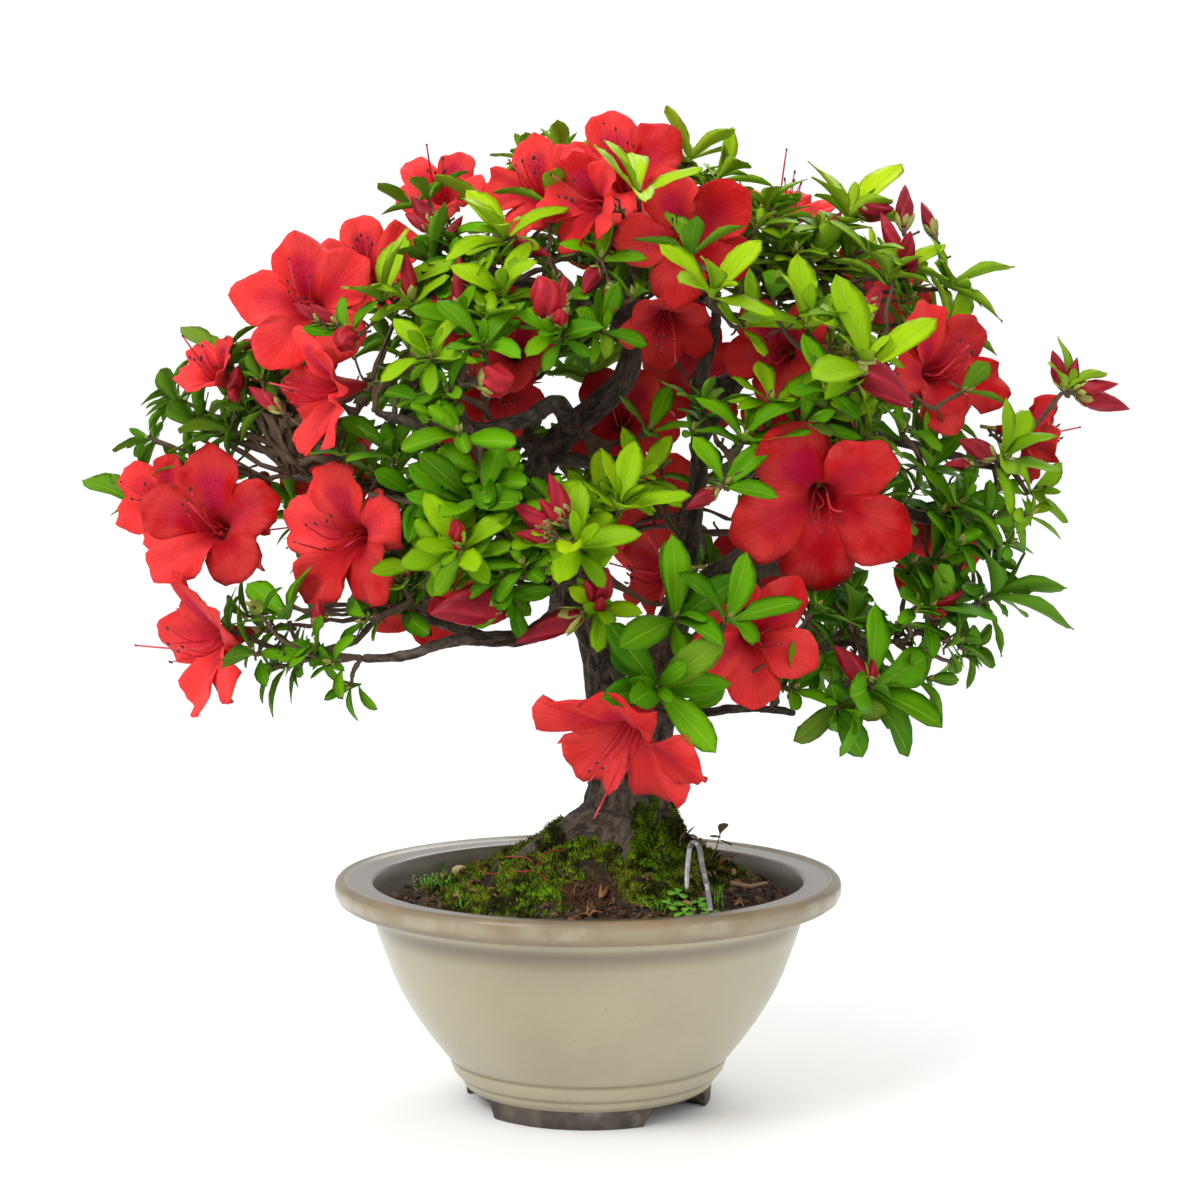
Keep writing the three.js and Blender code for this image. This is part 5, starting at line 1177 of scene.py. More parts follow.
def unitLeaf(foot, end, blunt, fold, wave, curl, across=leafShape["across"]):   # along Y with its face up
    outline = [(i / 40) ** foot * (1 - (i / 40) ** end) ** blunt for i in range(41)]
    widest = max(outline)
    bm = tonedMesh()
    uvs = bm.loops.layers.uv["shapeMap"]
    bmesh.ops.create_grid(bm, x_segments=across, y_segments=leafShape["along"], size=0.5)
    for face in bm.faces:
        for loop in face.loops:
            loop[uvs].uv = (loop.vert.co.x + 0.5, loop.vert.co.y + 0.5)
    copied = bmesh.ops.duplicate(bm, geom=bm.verts[:] + bm.edges[:] + bm.faces[:])["geom"]
    under = [part for part in copied if isinstance(part, bmesh.types.BMFace)]
    for face in under:
        for loop in face.loops:
            loop[uvs].uv.x += 1
    bmesh.ops.reverse_faces(bm, faces=under)
    below = {vert for face in under for vert in face.verts}
    for vert in bm.verts:
        a, s = vert.co.x * 2, min(max(vert.co.y + 0.5, 0), 1)
        s = 1 - (1 - s) ** 1.25
        half = leafShape["width"] * s ** foot * (1 - s ** end) ** blunt / widest
        half = max(half, 0.022 * (1 - s))
        drop = leafShape["thickness"] * (1 - abs(a)) ** 0.5 if vert in below else 0
        lift = fold * abs(a) ** 1.2 * math.sin(math.pi * min(1, s * 1.05))
        lift += wave * a * a * math.sin(9 * s + 2 * a)
        x = a * half * (1 + wave * math.sin(11 * s))
        vert.co = Vector((x, s, lift - curl * s ** 3 - drop))
    bmesh.ops.remove_doubles(bm, verts=bm.verts, dist=1e-4)
    return meshOf(bm)


def unitBud(twist, pinch, folds, sides):         # along Z, pointed, its five petals rolled over each other
    bm = tonedMesh()
    bmesh.ops.create_uvsphere(bm, u_segments=sides, v_segments=max(5, sides // 2), radius=0.5)
    uvs = bm.loops.layers.uv["shapeMap"]
    for vert in bm.verts:
        s = min(max(vert.co.z + 0.5, 0), 1)
        around = math.atan2(vert.co.y, vert.co.x)
        angle = around + twist * s
        radius = 0.5 * math.sin(math.pi * s ** pinch) ** 0.85 if 0 < s < 1 else 0
        over = (around * 5 / fullTurn + 0.02) % 1
        radius *= 1 - folds * over * math.sin(math.pi * min(1, s * 1.1)) ** 0.5
        for loop in vert.link_loops:
            loop[uvs].uv = (over, s)
        vert.co = Vector((radius * math.cos(angle), radius * math.sin(angle), s))
    return meshOf(bm)


def unitBract():                                 # a cupped scale, along Z with its back to Y
    bm = tonedMesh()
    bmesh.ops.create_grid(bm, x_segments=2, y_segments=3, size=0.5)
    for vert in bm.verts:
        a, s = vert.co.x * 2, vert.co.y + 0.5
        half = 0.3 * (s + 0.25) ** 0.5 * max(0, 1 - s ** 2.5) ** 0.6 * 1.1
        vert.co = Vector((a * half, 0.16 * math.sin(2.2 * s) - 0.22 * (a * half) ** 2 * 4, s))
    bmesh.ops.remove_doubles(bm, verts=bm.verts, dist=1e-4)
    bmesh.ops.recalc_face_normals(bm, faces=bm.faces)
    bmesh.ops.solidify(bm, geom=bm.faces[:], thickness=0.04)
    return meshOf(bm)


leafShapes = [unitLeaf(1.0, 1.6, 0.78, 0.08, 0.014, 0.02), unitLeaf(1.1, 2.2, 0.72, 0.11, 0.022, 0.06),
              unitLeaf(0.85, 1.8, 0.7, 0.05, 0.026, -0.04), unitLeaf(1.2, 3.0, 0.62, 0.09, 0.018, 0.1),
              unitLeaf(0.9, 1.5, 0.75, 0.13, 0.018, 0.08), unitLeaf(1.1, 1.9, 0.66, 0.03, 0.03, 0.03)]
innerLeaves = [unitLeaf(1.0, 1.7, 0.72, 0.08, 0.0, 0.04, 2), unitLeaf(1.1, 2.2, 0.7, 0.12, 0.0, 0.1, 2)]
longLeaf = unitLeaf(0.95, 2.0, 0.7, 0.07, 0.016, 0.03)
budShapes = [unitBud(1.6, 0.66, 0.2, 20), unitBud(2.1, 0.74, 0.26, 20), unitBud(-1.7, 0.7, 0.22, 20)]
fatBud = unitBud(2.4, 1.0, 0.4, 20)
scaleBud = unitBud(0.8, 0.7, 0.25, 8)
bract = unitBract()


def leafMaterial():
    material, tree, shader = newMaterial("azalea_leaf")
    shader.inputs["Specular IOR Level"].default_value = 0.09
    shape = addNode(tree, "UVMap", uv_map="shapeMap").outputs[0]
    u, s, _ = addNode(tree, "SeparateXYZ", {0: shape}).outputs
    tones = toneParts(tree)
    point = objectPoint(tree)
    under = mathOf(tree, "GREATER_THAN", u, 0.9999)
    middle = mathOf(tree, "ABSOLUTE", mathOf(tree, "SUBTRACT", mathOf(tree, "SUBTRACT", u, under), 0.5))
    rib = rampOf(tree, middle, 0.04, 0.012)
    fan = mathOf(tree, "SUBTRACT", timesOf(tree, s, 21.0), timesOf(tree, middle, 18.0))
    veins = rampOf(tree, mathOf(tree, "ABSOLUTE", mathOf(tree, "SINE", fan)), 0.28, 0.0, 0.0, 1.0)
    soft = useGroup(tree, mottle, {"Vector": point, "Scale": 120.0})
    mature = mixOf(tree, tones[1], (0.030, 0.150, 0.001), (0.145, 0.43, 0.001))
    young = mixOf(tree, tones[1], (0.27, 0.50, 0.002), (0.52, 0.70, 0.003))
    color = mixOf(tree, tones[0], mature, young)
    color = mixOf(tree, timesOf(tree, soft["Mask"], 0.2), color, (0.16, 0.36, 0.002))
    pale = mixOf(tree, tones[0], (0.12, 0.28, 0.02), (0.38, 0.58, 0.03))
    color = mixOf(tree, timesOf(tree, under, 0.75), color, pale)
    color = mixOf(tree, timesOf(tree, veins, 0.2), color, pale)
    color = mixOf(tree, timesOf(tree, rib, 0.5), color, (0.30, 0.50, 0.03))
    tip = timesOf(tree, rampOf(tree, s, 0.86, 1.0), tones[2])
    color = mixOf(tree, mathOf(tree, "MULTIPLY_ADD", tones[2], 0.55, timesOf(tree, tip, 0.4)), color,
                  (0.20, 0.135, 0.035))
    height = mathOf(tree, "MULTIPLY_ADD", veins, -0.5, mathOf(tree, "MULTIPLY_ADD", rib, -0.9, soft["Noise"]))
    rough = mathOf(tree, "MULTIPLY_ADD", under, 0.25, rampOf(tree, soft["Noise"], 0.3, 0.7, 0.4, 0.52))
    finishShader(tree, shader, color, rough, height, 0.5, 0.5)
    return material


def budMaterial():
    material, tree, shader = newMaterial("azalea_bud")
    shader.inputs["Specular IOR Level"].default_value = 0.22
    tones = toneParts(tree)
    point = objectPoint(tree)
    color = mixOf(tree, tones[0], (0.22, 0.002, 0.012), (0.46, 0.012, 0.026))
    color = mixOf(tree, timesOf(tree, tones[1], 0.8), color, (0.62, 0.020, 0.030))
    shape = addNode(tree, "UVMap", uv_map="shapeMap").outputs[0]
    over = addNode(tree, "SeparateXYZ", {0: shape}).outputs[0]
    # painted shade under each rolled petal's overlap, and a painted highlight along its edge
    color = mixOf(tree, rampOf(tree, over, 0.1, 1.0, 0.0, 0.55), color, (0.085, 0.0, 0.009))
    color = mixOf(tree, rampOf(tree, over, 0.25, 0.02, 0.0, 0.25), color, (0.55, 0.040, 0.060))
    soft = useGroup(tree, mottle, {"Vector": point, "Scale": 240.0})
    color = mixOf(tree, timesOf(tree, soft["Mask"], 0.35), color, (0.19, 0.003, 0.014))
    bumps = useGroup(tree, grain, {"Vector": point, "Fine": 1500.0, "Broad": 400.0})
    finishShader(tree, shader, color, rampOf(tree, soft["Mask"], 0, 1, 0.45, 0.6), bumps["Height"], 0.35, 0.5)
    return material


def onGround(x, y, lift=0.0):
    moss = math.hypot(x, y) < mossEdge(math.atan2(y, x))
    return Vector((x, y, (mossTop(x, y) if moss else soilTop(x, y)) + lift)) * mm


litter = {
    "scraps": 150, "fibres": 900, "sticks": 22, "rimTop": 93.5, "rimInside": 86.5,
    "fallenPistils": [[(-34, -14), (-24, -25), (-17, -38), (-9, -50)], [(-46, -8), (-40, -18), (-31, -22)],
                      [(-9, -24), (-17, -26), (-22, -33), (-30, -31)]],
    "clovers": [(40, -56), (36, -49), (44, -50), (33, -57), (47, -57), (38, -62)],
    "weeds": [(-67, 8), (-63, 2), (-70, 14), (-66, 60), (-58, -4), (28, -58), (52, -44), (-50, -40), (6, 68),
              (-30, 66)],
    "driedSprigs": [((37, -18), (41, 2, 112)), ((41, -16), (46, 0, 108)), ((48, -12), (55, 4, 110)),
                    ((50, -8), (60, 10, 101))],
}


def makeLitter():
    bm = tonedMesh()
    scrap, leaflet = unitLeaf(1.0, 1.8, 0.7, 0.25, 0.06, 0.2, 2), unitLeaf(0.9, 2.5, 0.5, 0.1, 0, 0, 2)
    for _ in range(litter["scraps"]):            # dry leaves and husks
        angle, reach = random.uniform(0, fullTurn), random.uniform(46, 78)
        spot = onGround(reach * math.cos(angle), reach * math.sin(angle), 0.8)
        upper = leaning(0.4)
        size = random.choice((3, 4, 5, 7, 9)) * random.uniform(0.8, 1.2) * mm
        tone = (random.random(), random.uniform(0, 0.6), 0, 1)
        turn = Matrix.Rotation(random.uniform(0, 6), 4, "Z")
        stamp(bm, scrap, placed(spot, upper, scale=size) @ turn, 0, tone)
    for _ in range(litter["sticks"]):
        angle, reach = random.uniform(0, fullTurn), random.uniform(50, 74)
        x, y = roundSpot(angle, reach)
        way, long = random.uniform(0, fullTurn), random.uniform(4, 9)
        across, along = long * math.cos(way), long * math.sin(way)
        line = [onGround(x + k * across, y + k * along, 1.2) for k in (-0.5, 0, 0.5)]
        sweep(bm, line, [0.5 * mm, 0.6 * mm, 0.4 * mm], 5, 1, (random.random(), 0.2, 0, 1))
    spread = [onGround(58, -22, 2), onGround(66, -16, 2.2), onGround(74, -6, 2.5)]
    sweep(bm, spread, [1.1 * mm, 1 * mm, 0.6 * mm], 6, 1, (1, 0, 0, 1))
    for line in litter["fallenPistils"]:
        rows = curveThrough([tuple(onGround(x, y, 1.6)) for x, y in line], 4)
        sweep(bm, [Vector(row) for row in rows], [0.3 * mm] * len(rows), 5, 2, (0.1, 0, 0, 1))
    for x, y in litter["clovers"]:
        foot = onGround(x, y, -0.5)
        top = onGround(x + random.uniform(-1, 1), y + random.uniform(-1, 1), random.uniform(2.5, 4.5))
        sweep(bm, [foot, top], [0.3 * mm, 0.25 * mm], 5, 3, (0.6, 0, 0, 1))
        upper = Vector((random.gauss(0, 0.15), -0.3, 1)).normalized()
        for k in range(3):
            turn = Matrix.Rotation(k * fullTurn / 3 + x, 4, "Z") @ sized(2.4, 1, 1)
            tone = (random.uniform(0.6, 1), 0, 0, 1)
            stamp(bm, leaflet, placed(top, upper, scale=4.6 * mm) @ turn, 3, tone)
    for x, y in litter["weeds"]:
        for k in range(5):
            foot = onGround(x + random.uniform(-2.5, 2.5), y + random.uniform(-2.5, 2.5), -0.5)
            lean = leaning(0.25)
            long = random.uniform(4, 8) * mm
            sweep(bm, [foot, foot + lean * long], [0.3 * mm, 0.15 * mm], 5, 3, (0.7, 0, 0, 1))
            for share in (0.45, 0.7, 0.95):
                way = Matrix.Rotation(random.uniform(0, fullTurn), 3, "Z") @ Vector((1, 0, 0.7))
                across = way.cross(upward).normalized()
                upper = across.cross(way.normalized())
                place = placed(foot + lean * long * share, upper, across, 2.4 * mm)
                stamp(bm, leaflet, place, 3, (random.uniform(0.5, 1), 0, 0, 1))
    for (x, y), top in litter["driedSprigs"]:
        foot, top = onGround(x, y, -1), Vector(top) * mm
        bow = Vector((random.uniform(-2, 2), 0, 2)) * mm
        line = [foot, foot.lerp(top, 0.5) + bow, top]
        sweep(bm, line, [0.35 * mm, 0.3 * mm, 0.25 * mm], 5, 1, (0.3, 0.3, 0, 1))
        for k in range(4):
            way = Vector((random.gauss(0, 1), random.gauss(0, 1), random.uniform(-0.6, 0.5))).normalized()
            across = way.cross(upward).normalized()
            place = placed(top - upward * k * 0.8 * mm, across.cross(way), across, 6 * mm) @ sized(2.2, 1, 1)
            stamp(bm, leaflet, place, 1, (random.uniform(0.0, 0.5), 0.4, 0, 1))
    pebble = smallMesh("create_icosphere", subdivisions=2, radius=1)
    stamp(bm, pebble, Matrix.Translation(onGround(-54, 9, 1.6)) @ sized(3.6 * mm, 2.8 * mm, 2.4 * mm), 4)
    top, inside = litter["rimTop"] * mm, litter["rimInside"] * mm
    for vert in list(bm.verts):                  # nothing lies out over the pot's rim
        if vert.co.z < top and vert.co.xy.length > inside:
            vert.co.xy *= inside / vert.co.xy.length
    asPiece("fallen_litter", bm, [
        tonedMaterial("dry_leaves", (0.14, 0.050, 0.015), (0.46, 0.23, 0.085), 0.8, 0.5),
        tonedMaterial("dry_twigs", (0.060, 0.030, 0.015), (0.36, 0.21, 0.11), 0.85, 0.5),
        tonedMaterial("fallen_filaments", (0.42, 0.014, 0.022), (0.70, 0.07, 0.08), 0.5, 0.2),
        tonedMaterial("weeds", (0.035, 0.16, 0.004), (0.15, 0.46, 0.012), 0.6, 0.2),
        tonedMaterial("pale_pebble", (0.45, 0.33, 0.13), (0.66, 0.54, 0.28), 0.75, 0.5)])


def makeFibres():                                # brown roots in the bare patch
    bm = tonedMesh()
    thread = bmesh.new()
    bmesh.ops.create_cone(thread, cap_ends=False, segments=3, radius1=0.07, radius2=0.02, depth=1,
                          matrix=Matrix.Translation((0, 0, 0.5)))
    thread, rows = meshOf(thread), []
    for _ in range(litter["fibres"]):
        x, y = random.gauss(1, 6.5), random.gauss(-50, 5)
        way = Vector((random.gauss(0, 1), random.gauss(0, 1), random.uniform(0, 1.1))).normalized()
        place = placed(onGround(x, y, random.uniform(-0.6, 0.8)), way, scale=random.uniform(2, 5) * mm)
        rows.append((thread, place, None, (random.random() ** 1.4, random.uniform(0, 0.5), 0, 1)))
    scatter(bm, rows)
    brown = tonedMaterial("brown_fibres", (0.055, 0.022, 0.008), (0.26, 0.125, 0.05), 0.9, 0.4)
    asPiece("dry_fibres", bm, [brown])


youngWhorls = [                                  # across, rise, how young, how far it reaches
    (-33, 356, 1.0, 17), (-36, 335, 0.85, 14), (21, 377, 1.0, 16), (43, 389, 0.9, 16), (51, 331, 0.85, 18),
    (91, 318, 0.9, 16), (106, 364, 1.0, 20), (-4, 228, 0.85, 16), (13, 245, 0.85, 16), (-64, 308, 0.6, 12),
    (90, 345, 0.6, 14), (118, 302, 0.7, 20), (130, 344, 0.6, 14), (150, 336, 0.6, 14), (-42, 370, 0.8, 14),
    (-84, 331, 0.55, 12), (-114, 352, 0.7, 20), (64, 370, 0.7, 14), (-50, 206, 0.5, 14), (5, 205, 0.6, 14),
    (166, 268, 0.55, 20), (178, 252, 0.6, 16), (113, 276, 0.5, 14), (30, 356, 0.8, 12), (-52, 229, 0.55, 16),
    (-72, 329, 0.55, 12), (-20, 388, 0.6, 20), (75, 290, 0.5, 14), (195, 294, 0.6, 16), (148, 319, 0.5, 14),
]


def youthAt(point):
    across, rise, depth = frontOf(point)
    best = 0
    for x, z, young, reach in youngWhorls:
        away = math.hypot(across - x, rise - z)
        if away < reach and depth < 45:
            best = max(best, young * (1 - 0.35 * away / reach))
    return best


def addLeaf(bm, leaf, shape, tone):
    across = leaf["direction"].cross(leaf["upper"])
    turn = Matrix((across, leaf["direction"], leaf["upper"])).transposed().to_4x4()
    size = sized(leaf["length"] * leaf.get("broad", 1), leaf["length"], leaf["length"])
    new = stamp(bm, shape, Matrix.Identity(4), 1, tone)
    for vert in new:
        vert.co.z -= leaf["arch"] * vert.co.y ** 2
    bmesh.ops.transform(bm, matrix=Matrix.Translation(leaf["start"]) @ turn @ size, verts=new)


def readTips(bm):                                # finds each leaf and bud in a spray's solid by its tip
    leaves, buds, spent = [], [], set()
    for tip in sorted(bm.verts, key=lambda vert: vert.co[:]):
        if len(tip.link_edges) != 3 or len(tip.link_faces) != 3:
            continue
        around = [edge.other_vert(tip) for edge in tip.link_edges]
        pairs = sorted(((around[a].co - around[b].co).length, a, b) for a, b in ((0, 1), (1, 2), (0, 2)))
        wide, a, b = pairs[2]
        if wide < 1 * mm or wide > 25 * mm:
            continue
        keel = around[3 - a - b]
        middle = (around[a].co + around[b].co) / 2
        if pairs[0][0] + pairs[1][0] < 1.5 * wide:
            ratio = (tip.co - middle).length / wide
            large = ratio < 1.2
            share, half = (0.7, 0.15) if large else (0.56, 0.165)
            length = wide / (2 * half)
            if not 0.8 < ratio < 1.7 or length < 8 * mm or (middle - keel.co).length < 1e-5:
                continue
            upper = (middle - keel.co).normalized()
            across = (around[a].co - around[b].co).normalized()
            direction = across.cross(upper)
            if direction.dot(tip.co - middle) < 0:
                direction.negate()
            upper = (upper - direction * upper.dot(direction)).normalized()
            arch = -((tip.co - middle).dot(upper) + 0.04 * length) / ((1 - share * share) * length)
            start = middle - direction * share * length - upper * (0.04 - arch * share * share) * length
            leaves.append({"start": start, "direction": direction, "upper": upper, "length": length,
                           "arch": arch, "large": large})
            spent.update([tip, *around])
            if large:
                for vert in around:
                    for edge in vert.link_edges:
                        other = edge.other_vert(vert)
                        if (other.co - start).dot(direction) > 0.3 * length:
                            spent.add(other)
        else:
            centre = (around[0].co + around[1].co + around[2].co) / 3
            radius = (around[0].co - centre).length
            direction = (tip.co - centre).normalized()
            lower = {edge.other_vert(vert) for vert in around for edge in vert.link_edges} - {tip, *around}
            length, width = (tip.co - centre).length / 0.6, radius * 1.75
            if len(lower) == 3:
                low = sum((vert.co for vert in lower), Vector()) / 3
                if max((vert.co - low).length for vert in lower) > radius * 1.15:
                    length, width = (tip.co - centre).length / 0.25, radius * 2.4
                    spent.update(lower)
            buds.append({"base": tip.co - direction * length, "direction": direction, "length": length,
                         "width": width})
            spent.update([tip, *around])
    return leaves, buds, spent


def inBloom(bloom, point, margin=0.04):          # whether a point is in a bloom's petals or its mouth
    away = point - bloom["base"]
    height = away.dot(bloom["facing"]) / bloom["span"]
    radius = (away - bloom["facing"] * height * bloom["span"]).length / bloom["span"]
    if height < -0.02 or height > 0.8 or radius > 0.56 + margin:
        return False
    beyond = max(0, radius - 0.1) / (0.35 + 0.65 * bloom["open"])
    height -= beyond * 0.9 * (1 - bloom["open"])
    floor = min(0.36, 0.24 + 0.9 * beyond) if radius > 0.1 else radius * 2.4 - 0.02
    return height > floor - margin and (height < 0.55 + margin or radius < 0.2)


def crook(point):                                # how far a twig strays from its line
    return noise.noise_vector(point * 105) * 2.2 * mm


def twigSkin(bm, spent, blooms):                 # what is left of a spray's solid: its twigs, rounded
    for vert in bm.verts:
        if vert not in spent and any(inBloom(bloom, vert.co, 0.03) for bloom in blooms):
            spent.add(vert)
    bmesh.ops.delete(bm, geom=list(spent), context="VERTS")
    bmesh.ops.holes_fill(bm, edges=[edge for edge in bm.edges if edge.is_boundary], sides=0)
    bmesh.ops.recalc_face_normals(bm, faces=bm.faces)
    bmesh.ops.join_triangles(bm, faces=bm.faces[:], angle_face_threshold=0.9, angle_shape_threshold=1.2)
    bmesh.ops.subdivide_edges(bm, edges=[edge for edge in bm.edges if edge.calc_length() > 9 * mm], cuts=1)
    bm = withModifiers(bm, ("TRIANGULATE", {}), ("SUBSURF", {"levels": 1, "render_levels": 1}))
    bm.normal_update()
    for vert in bm.verts:
        knob = noise.noise(vert.co * 420) + 0.6 * noise.noise(vert.co * 1100)
        vert.co += vert.normal * (0.05 + 0.36 * knob) * mm + crook(vert.co)
    return bm


def addWhorlScales(bm, hub, axis, young):        # the small scaled bud in the middle of a whorl
    place = placed(hub + axis * 1.2 * mm, axis)
    size = sized(2.6 * mm, 2.6 * mm, 4.6 * mm)
    stamp(bm, scaleBud, place @ size, 3, (blendOf(0.3, 0.9, young), 0, 0, 1))
    addBracts(bm, hub + axis * 0.4 * mm, axis, 3, 4.2 * mm, 3 * mm, 0.9)


def addBracts(bm, base, direction, count, long, wide, spread):
    spin = random.uniform(0, 6)
    for k in range(count):
        way = Matrix.Rotation(spin + k * 2.4, 3, direction) @ sideOf(direction)
        ahead = (direction + way * random.uniform(0.5, 1) * spread).normalized()
        lean = placed(base + way * wide * 0.2, ahead, way.cross(ahead))
        size = sized(wide * random.uniform(0.8, 1.1), wide * 0.7, long * random.uniform(0.7, 1.1))
        stamp(bm, bract, lean @ size, 3, (random.uniform(0.15, 1), random.uniform(0, 0.25), 0, 1))


def addBud(bm, bud):
    direction = bud["direction"]
    place = placed(bud["base"], direction)
    fat = bud["width"] / bud["length"] > 0.55
    shape = fatBud if fat else random.choice(budShapes)
    size = sized(bud["width"], bud["width"], bud["length"])
    turn = Matrix.Rotation(random.uniform(0, 6), 4, "Z")
    tone = (random.random(), 0.8 if fat else random.uniform(0, 0.25), 0, 1)
    stamp(bm, shape, place @ turn @ size, 2, tone)
    addBracts(bm, bud["base"] + direction * 0.1 * bud["width"], direction, 5, bud["length"] * 0.34,
              bud["width"] * 1.05, 0.35)
    addBracts(bm, bud["base"] - direction * 0.8 * mm, direction, 3, 5 * mm, 4.5 * mm, 0.8)
    stalk = [bud["base"] - direction * 2.7 * mm, bud["base"] + direction * 0.3 * mm]
    sweep(bm, stalk, [0.8 * mm, 1.4 * mm], 6)


def besideBud(bud, blooms):                      # a smaller bud from the same place, where there is room
    direction = bud["direction"]
    way = Matrix.Rotation(random.uniform(0, fullTurn), 3, direction) @ sideOf(direction)
    lean = (direction + way * random.uniform(0.45, 0.8) + upward * 0.15).normalized()
    share = random.uniform(0.6, 0.85)
    if bud["width"] / bud["length"] > 0.5:
        share *= 0.6
    made = {"base": bud["base"] - direction * random.uniform(0.5, 2) * mm + way * bud["width"] * 0.25,
            "direction": lean, "length": bud["length"] * share, "width": min(bud["width"] * share, 6.5 * mm)}
    probe = {"start": made["base"], "direction": lean, "length": made["length"]}
    return made if clearOfBlooms(probe, blooms) and insideBox(probe) else None


def addSpurs(bm, count):                         # short bare side twigs and old stubs
    for face in sorted(bm.faces, key=lambda face: noise.noise(face.calc_center_median() * 2700))[:count]:
        start, out = face.calc_center_median(), face.normal.copy()
        lean = (out + stray(0.5) + upward * 0.3).normalized()
        long = random.choice((1.5, 2.5, 4, 7)) * random.uniform(0.7, 1.3) * mm
        bend = stray(0.25) * long
        line = [start - out * 0.4 * mm, start + lean * long * 0.5 + bend, start + lean * long]
        sweep(bm, line, [0.62 * mm, 0.5 * mm, random.uniform(0.35, 0.7) * mm], 5)


def hubsOf(leaves):
    hubs = []
    for leaf in leaves:
        for hub in hubs:
            if (hub["place"] - leaf["start"]).length < 1 * mm:
                hub["leaves"].append(leaf)
                break
        else:
            hubs.append({"place": leaf["start"], "leaves": [leaf]})
    for hub in hubs:
        hub["axis"] = sum((leaf["direction"] for leaf in hub["leaves"]), Vector()).normalized()
    return hubs


def extraLeaves(hub, blooms):                    # smaller leaves above and below a whorl, where there is room
    axis, place = hub["axis"], hub["place"]
    size = max(leaf["length"] for leaf in hub["leaves"])
    side = sideOf(axis)
    spin = random.uniform(0, 6)
    for k in range(8):
        upper = k < 3
        way = Matrix.Rotation(spin + k * leafTurn, 3, axis) @ side
        tilt = random.uniform(0.25, 0.6) if upper else random.uniform(1.0, 1.65)
        direction = (axis * math.cos(tilt) + way * math.sin(tilt)).normalized()
        face = (axis * math.sin(tilt) - way * math.cos(tilt)).normalized()
        length = size * (random.uniform(0.35, 0.6) if upper else random.uniform(0.5, 0.85))
        start = place + axis * (1.5 if upper else -random.uniform(1, 6)) * mm
        leaf = {"start": start, "direction": direction, "upper": face, "length": length,
                "arch": random.uniform(0.05, 0.25), "large": False}
        if clearOfBlooms(leaf, blooms) and insideBox(leaf):
            yield leaf


def hidesBloom(point):                           # whether a point stands before an open bloom in front
    across, rise, depth = frontOf(point)
    return any(depth < deep + 4 and math.hypot(across - x, rise - z) < reach
               for x, z, reach, deep in bloomMouths)


def clearOfBlooms(leaf, blooms):
    for share in (0.35, 0.7, 1.0):
        point = leaf["start"] + leaf["direction"] * leaf["length"] * share
        near = [bloom for bloom in blooms if (point - bloom["base"]).length < bloom["span"]]
        if hidesBloom(point) or any(inBloom(bloom, point, 0.09) for bloom in near):
            return False
    return True


def tipOf(leaf):
    return leaf["start"] + leaf["direction"] * leaf["length"]


def insideBox(leaf):
    tip = tipOf(leaf)
    low, high = cadBox
    return all(low[k] + 0.001 < tip[k] < high[k] - 0.001 for k in range(3)) and tip.z > 0.13


def leafTone(leaf, young):
    # painted light from above: leaves higher in the crown get a lighter, fresher green
    light = max(0, min(1, (leaf["start"].z - 0.2) / 0.2))
    fresh = min(1, max(0, young + random.uniform(-0.12, 0.12) + (0.12 * light if young < 0.3 else 0)))
    brown = random.uniform(0.4, 0.9) if random.random() < 0.03 and young < 0.4 else 0
    return (fresh, random.random() ** 1.2 * 0.7 + 0.3 * light, brown, 1)


fill = {
    "whorls": 325, "tries": 20000, "spacing": 10.5, "step": (9, 24), "leaf": (17, 29), "pieces": 4,
    "middle": 235, "lowest": 175,
    "behindStem": [(-8, 300, 34), (-4, 311, 44), (-16, 306, 52), (2, 300, 66), (-24, 318, 40), (-30, 268, 44),
                   (-38, 262, 26), (-6, 322, 30), (-48, 300, 34), (30, 262, 40), (44, 256, 50),
                   (-28, 306, 24)],
}
openWood = [                                     # stretches of wood that stay in view: two ends and a reach
    ((14, 120), (4, 208), 15), ((38, 206), (74, 238), 8), ((-17, 268), (17, 320), 9),
    ((-20, 198), (-94, 184), 6), ((24, 164), (86, 161), 6), ((88, 188), (127, 191), 5)]


def hidesWood(point):
    across, rise, depth = frontOf(point)
    for (x0, z0), (x1, z1), reach in openWood:
        run = Vector((x1 - x0, z1 - z0))
        share = max(0, min(1, Vector((across - x0, rise - z0)).dot(run) / run.length_squared))
        if math.hypot(across - x0 - run.x * share, rise - z0 - run.y * share) < reach and depth < 0:
            return True
    return False


def fillerWhorls(hubs, blooms):                  # whorls between the sprays, on twigs of their own
    wood = [point for rows in limbs.values() for point in limbLine(rows)[0] if point.z > 0.15]
    taken = [hub["place"] for hub in hubs]
    middle = Vector((0, 0, fill["middle"] * mm))
    behind = [fromFront(*row) for row in fill["behindStem"]]
    made, tries = [], 0
    while len(made) < fill["whorls"] and tries < fill["tries"]:
        tries += 1
        near = random.choice(taken)
        way = Vector([random.gauss(0, 1) for _ in range(3)]).normalized()
        outward = (near - middle).normalized()
        if way.dot(outward) > 0.15 and not behind:
            continue
        spot = behind.pop() if behind else near + way * random.uniform(*fill["step"]) * mm
        room = min((spot - other).length for other in taken)
        if spot.z < fill["lowest"] * mm or room < fill["spacing"] * mm:
            continue
        if hidesWood(spot) or any(inBloom(bloom, spot, 0.12) for bloom in blooms):
            continue
        foot = min(wood, key=lambda point: (point - spot).length + 0.4 * abs(point.y - spot.y))
        line = twigLine(foot, spot)
        inside = any(inBloom(bloom, point, 0.06) for bloom in blooms for point in line[4:])
        if inside or any(map(hidesBloom, line)):
            continue
        axis = (spot - middle).normalized() * 0.8 + upward * 0.8 + (spot - foot).normalized() * 0.6
        taken.append(spot)
        made.append({"place": spot, "axis": axis.normalized(), "line": line})
    return made


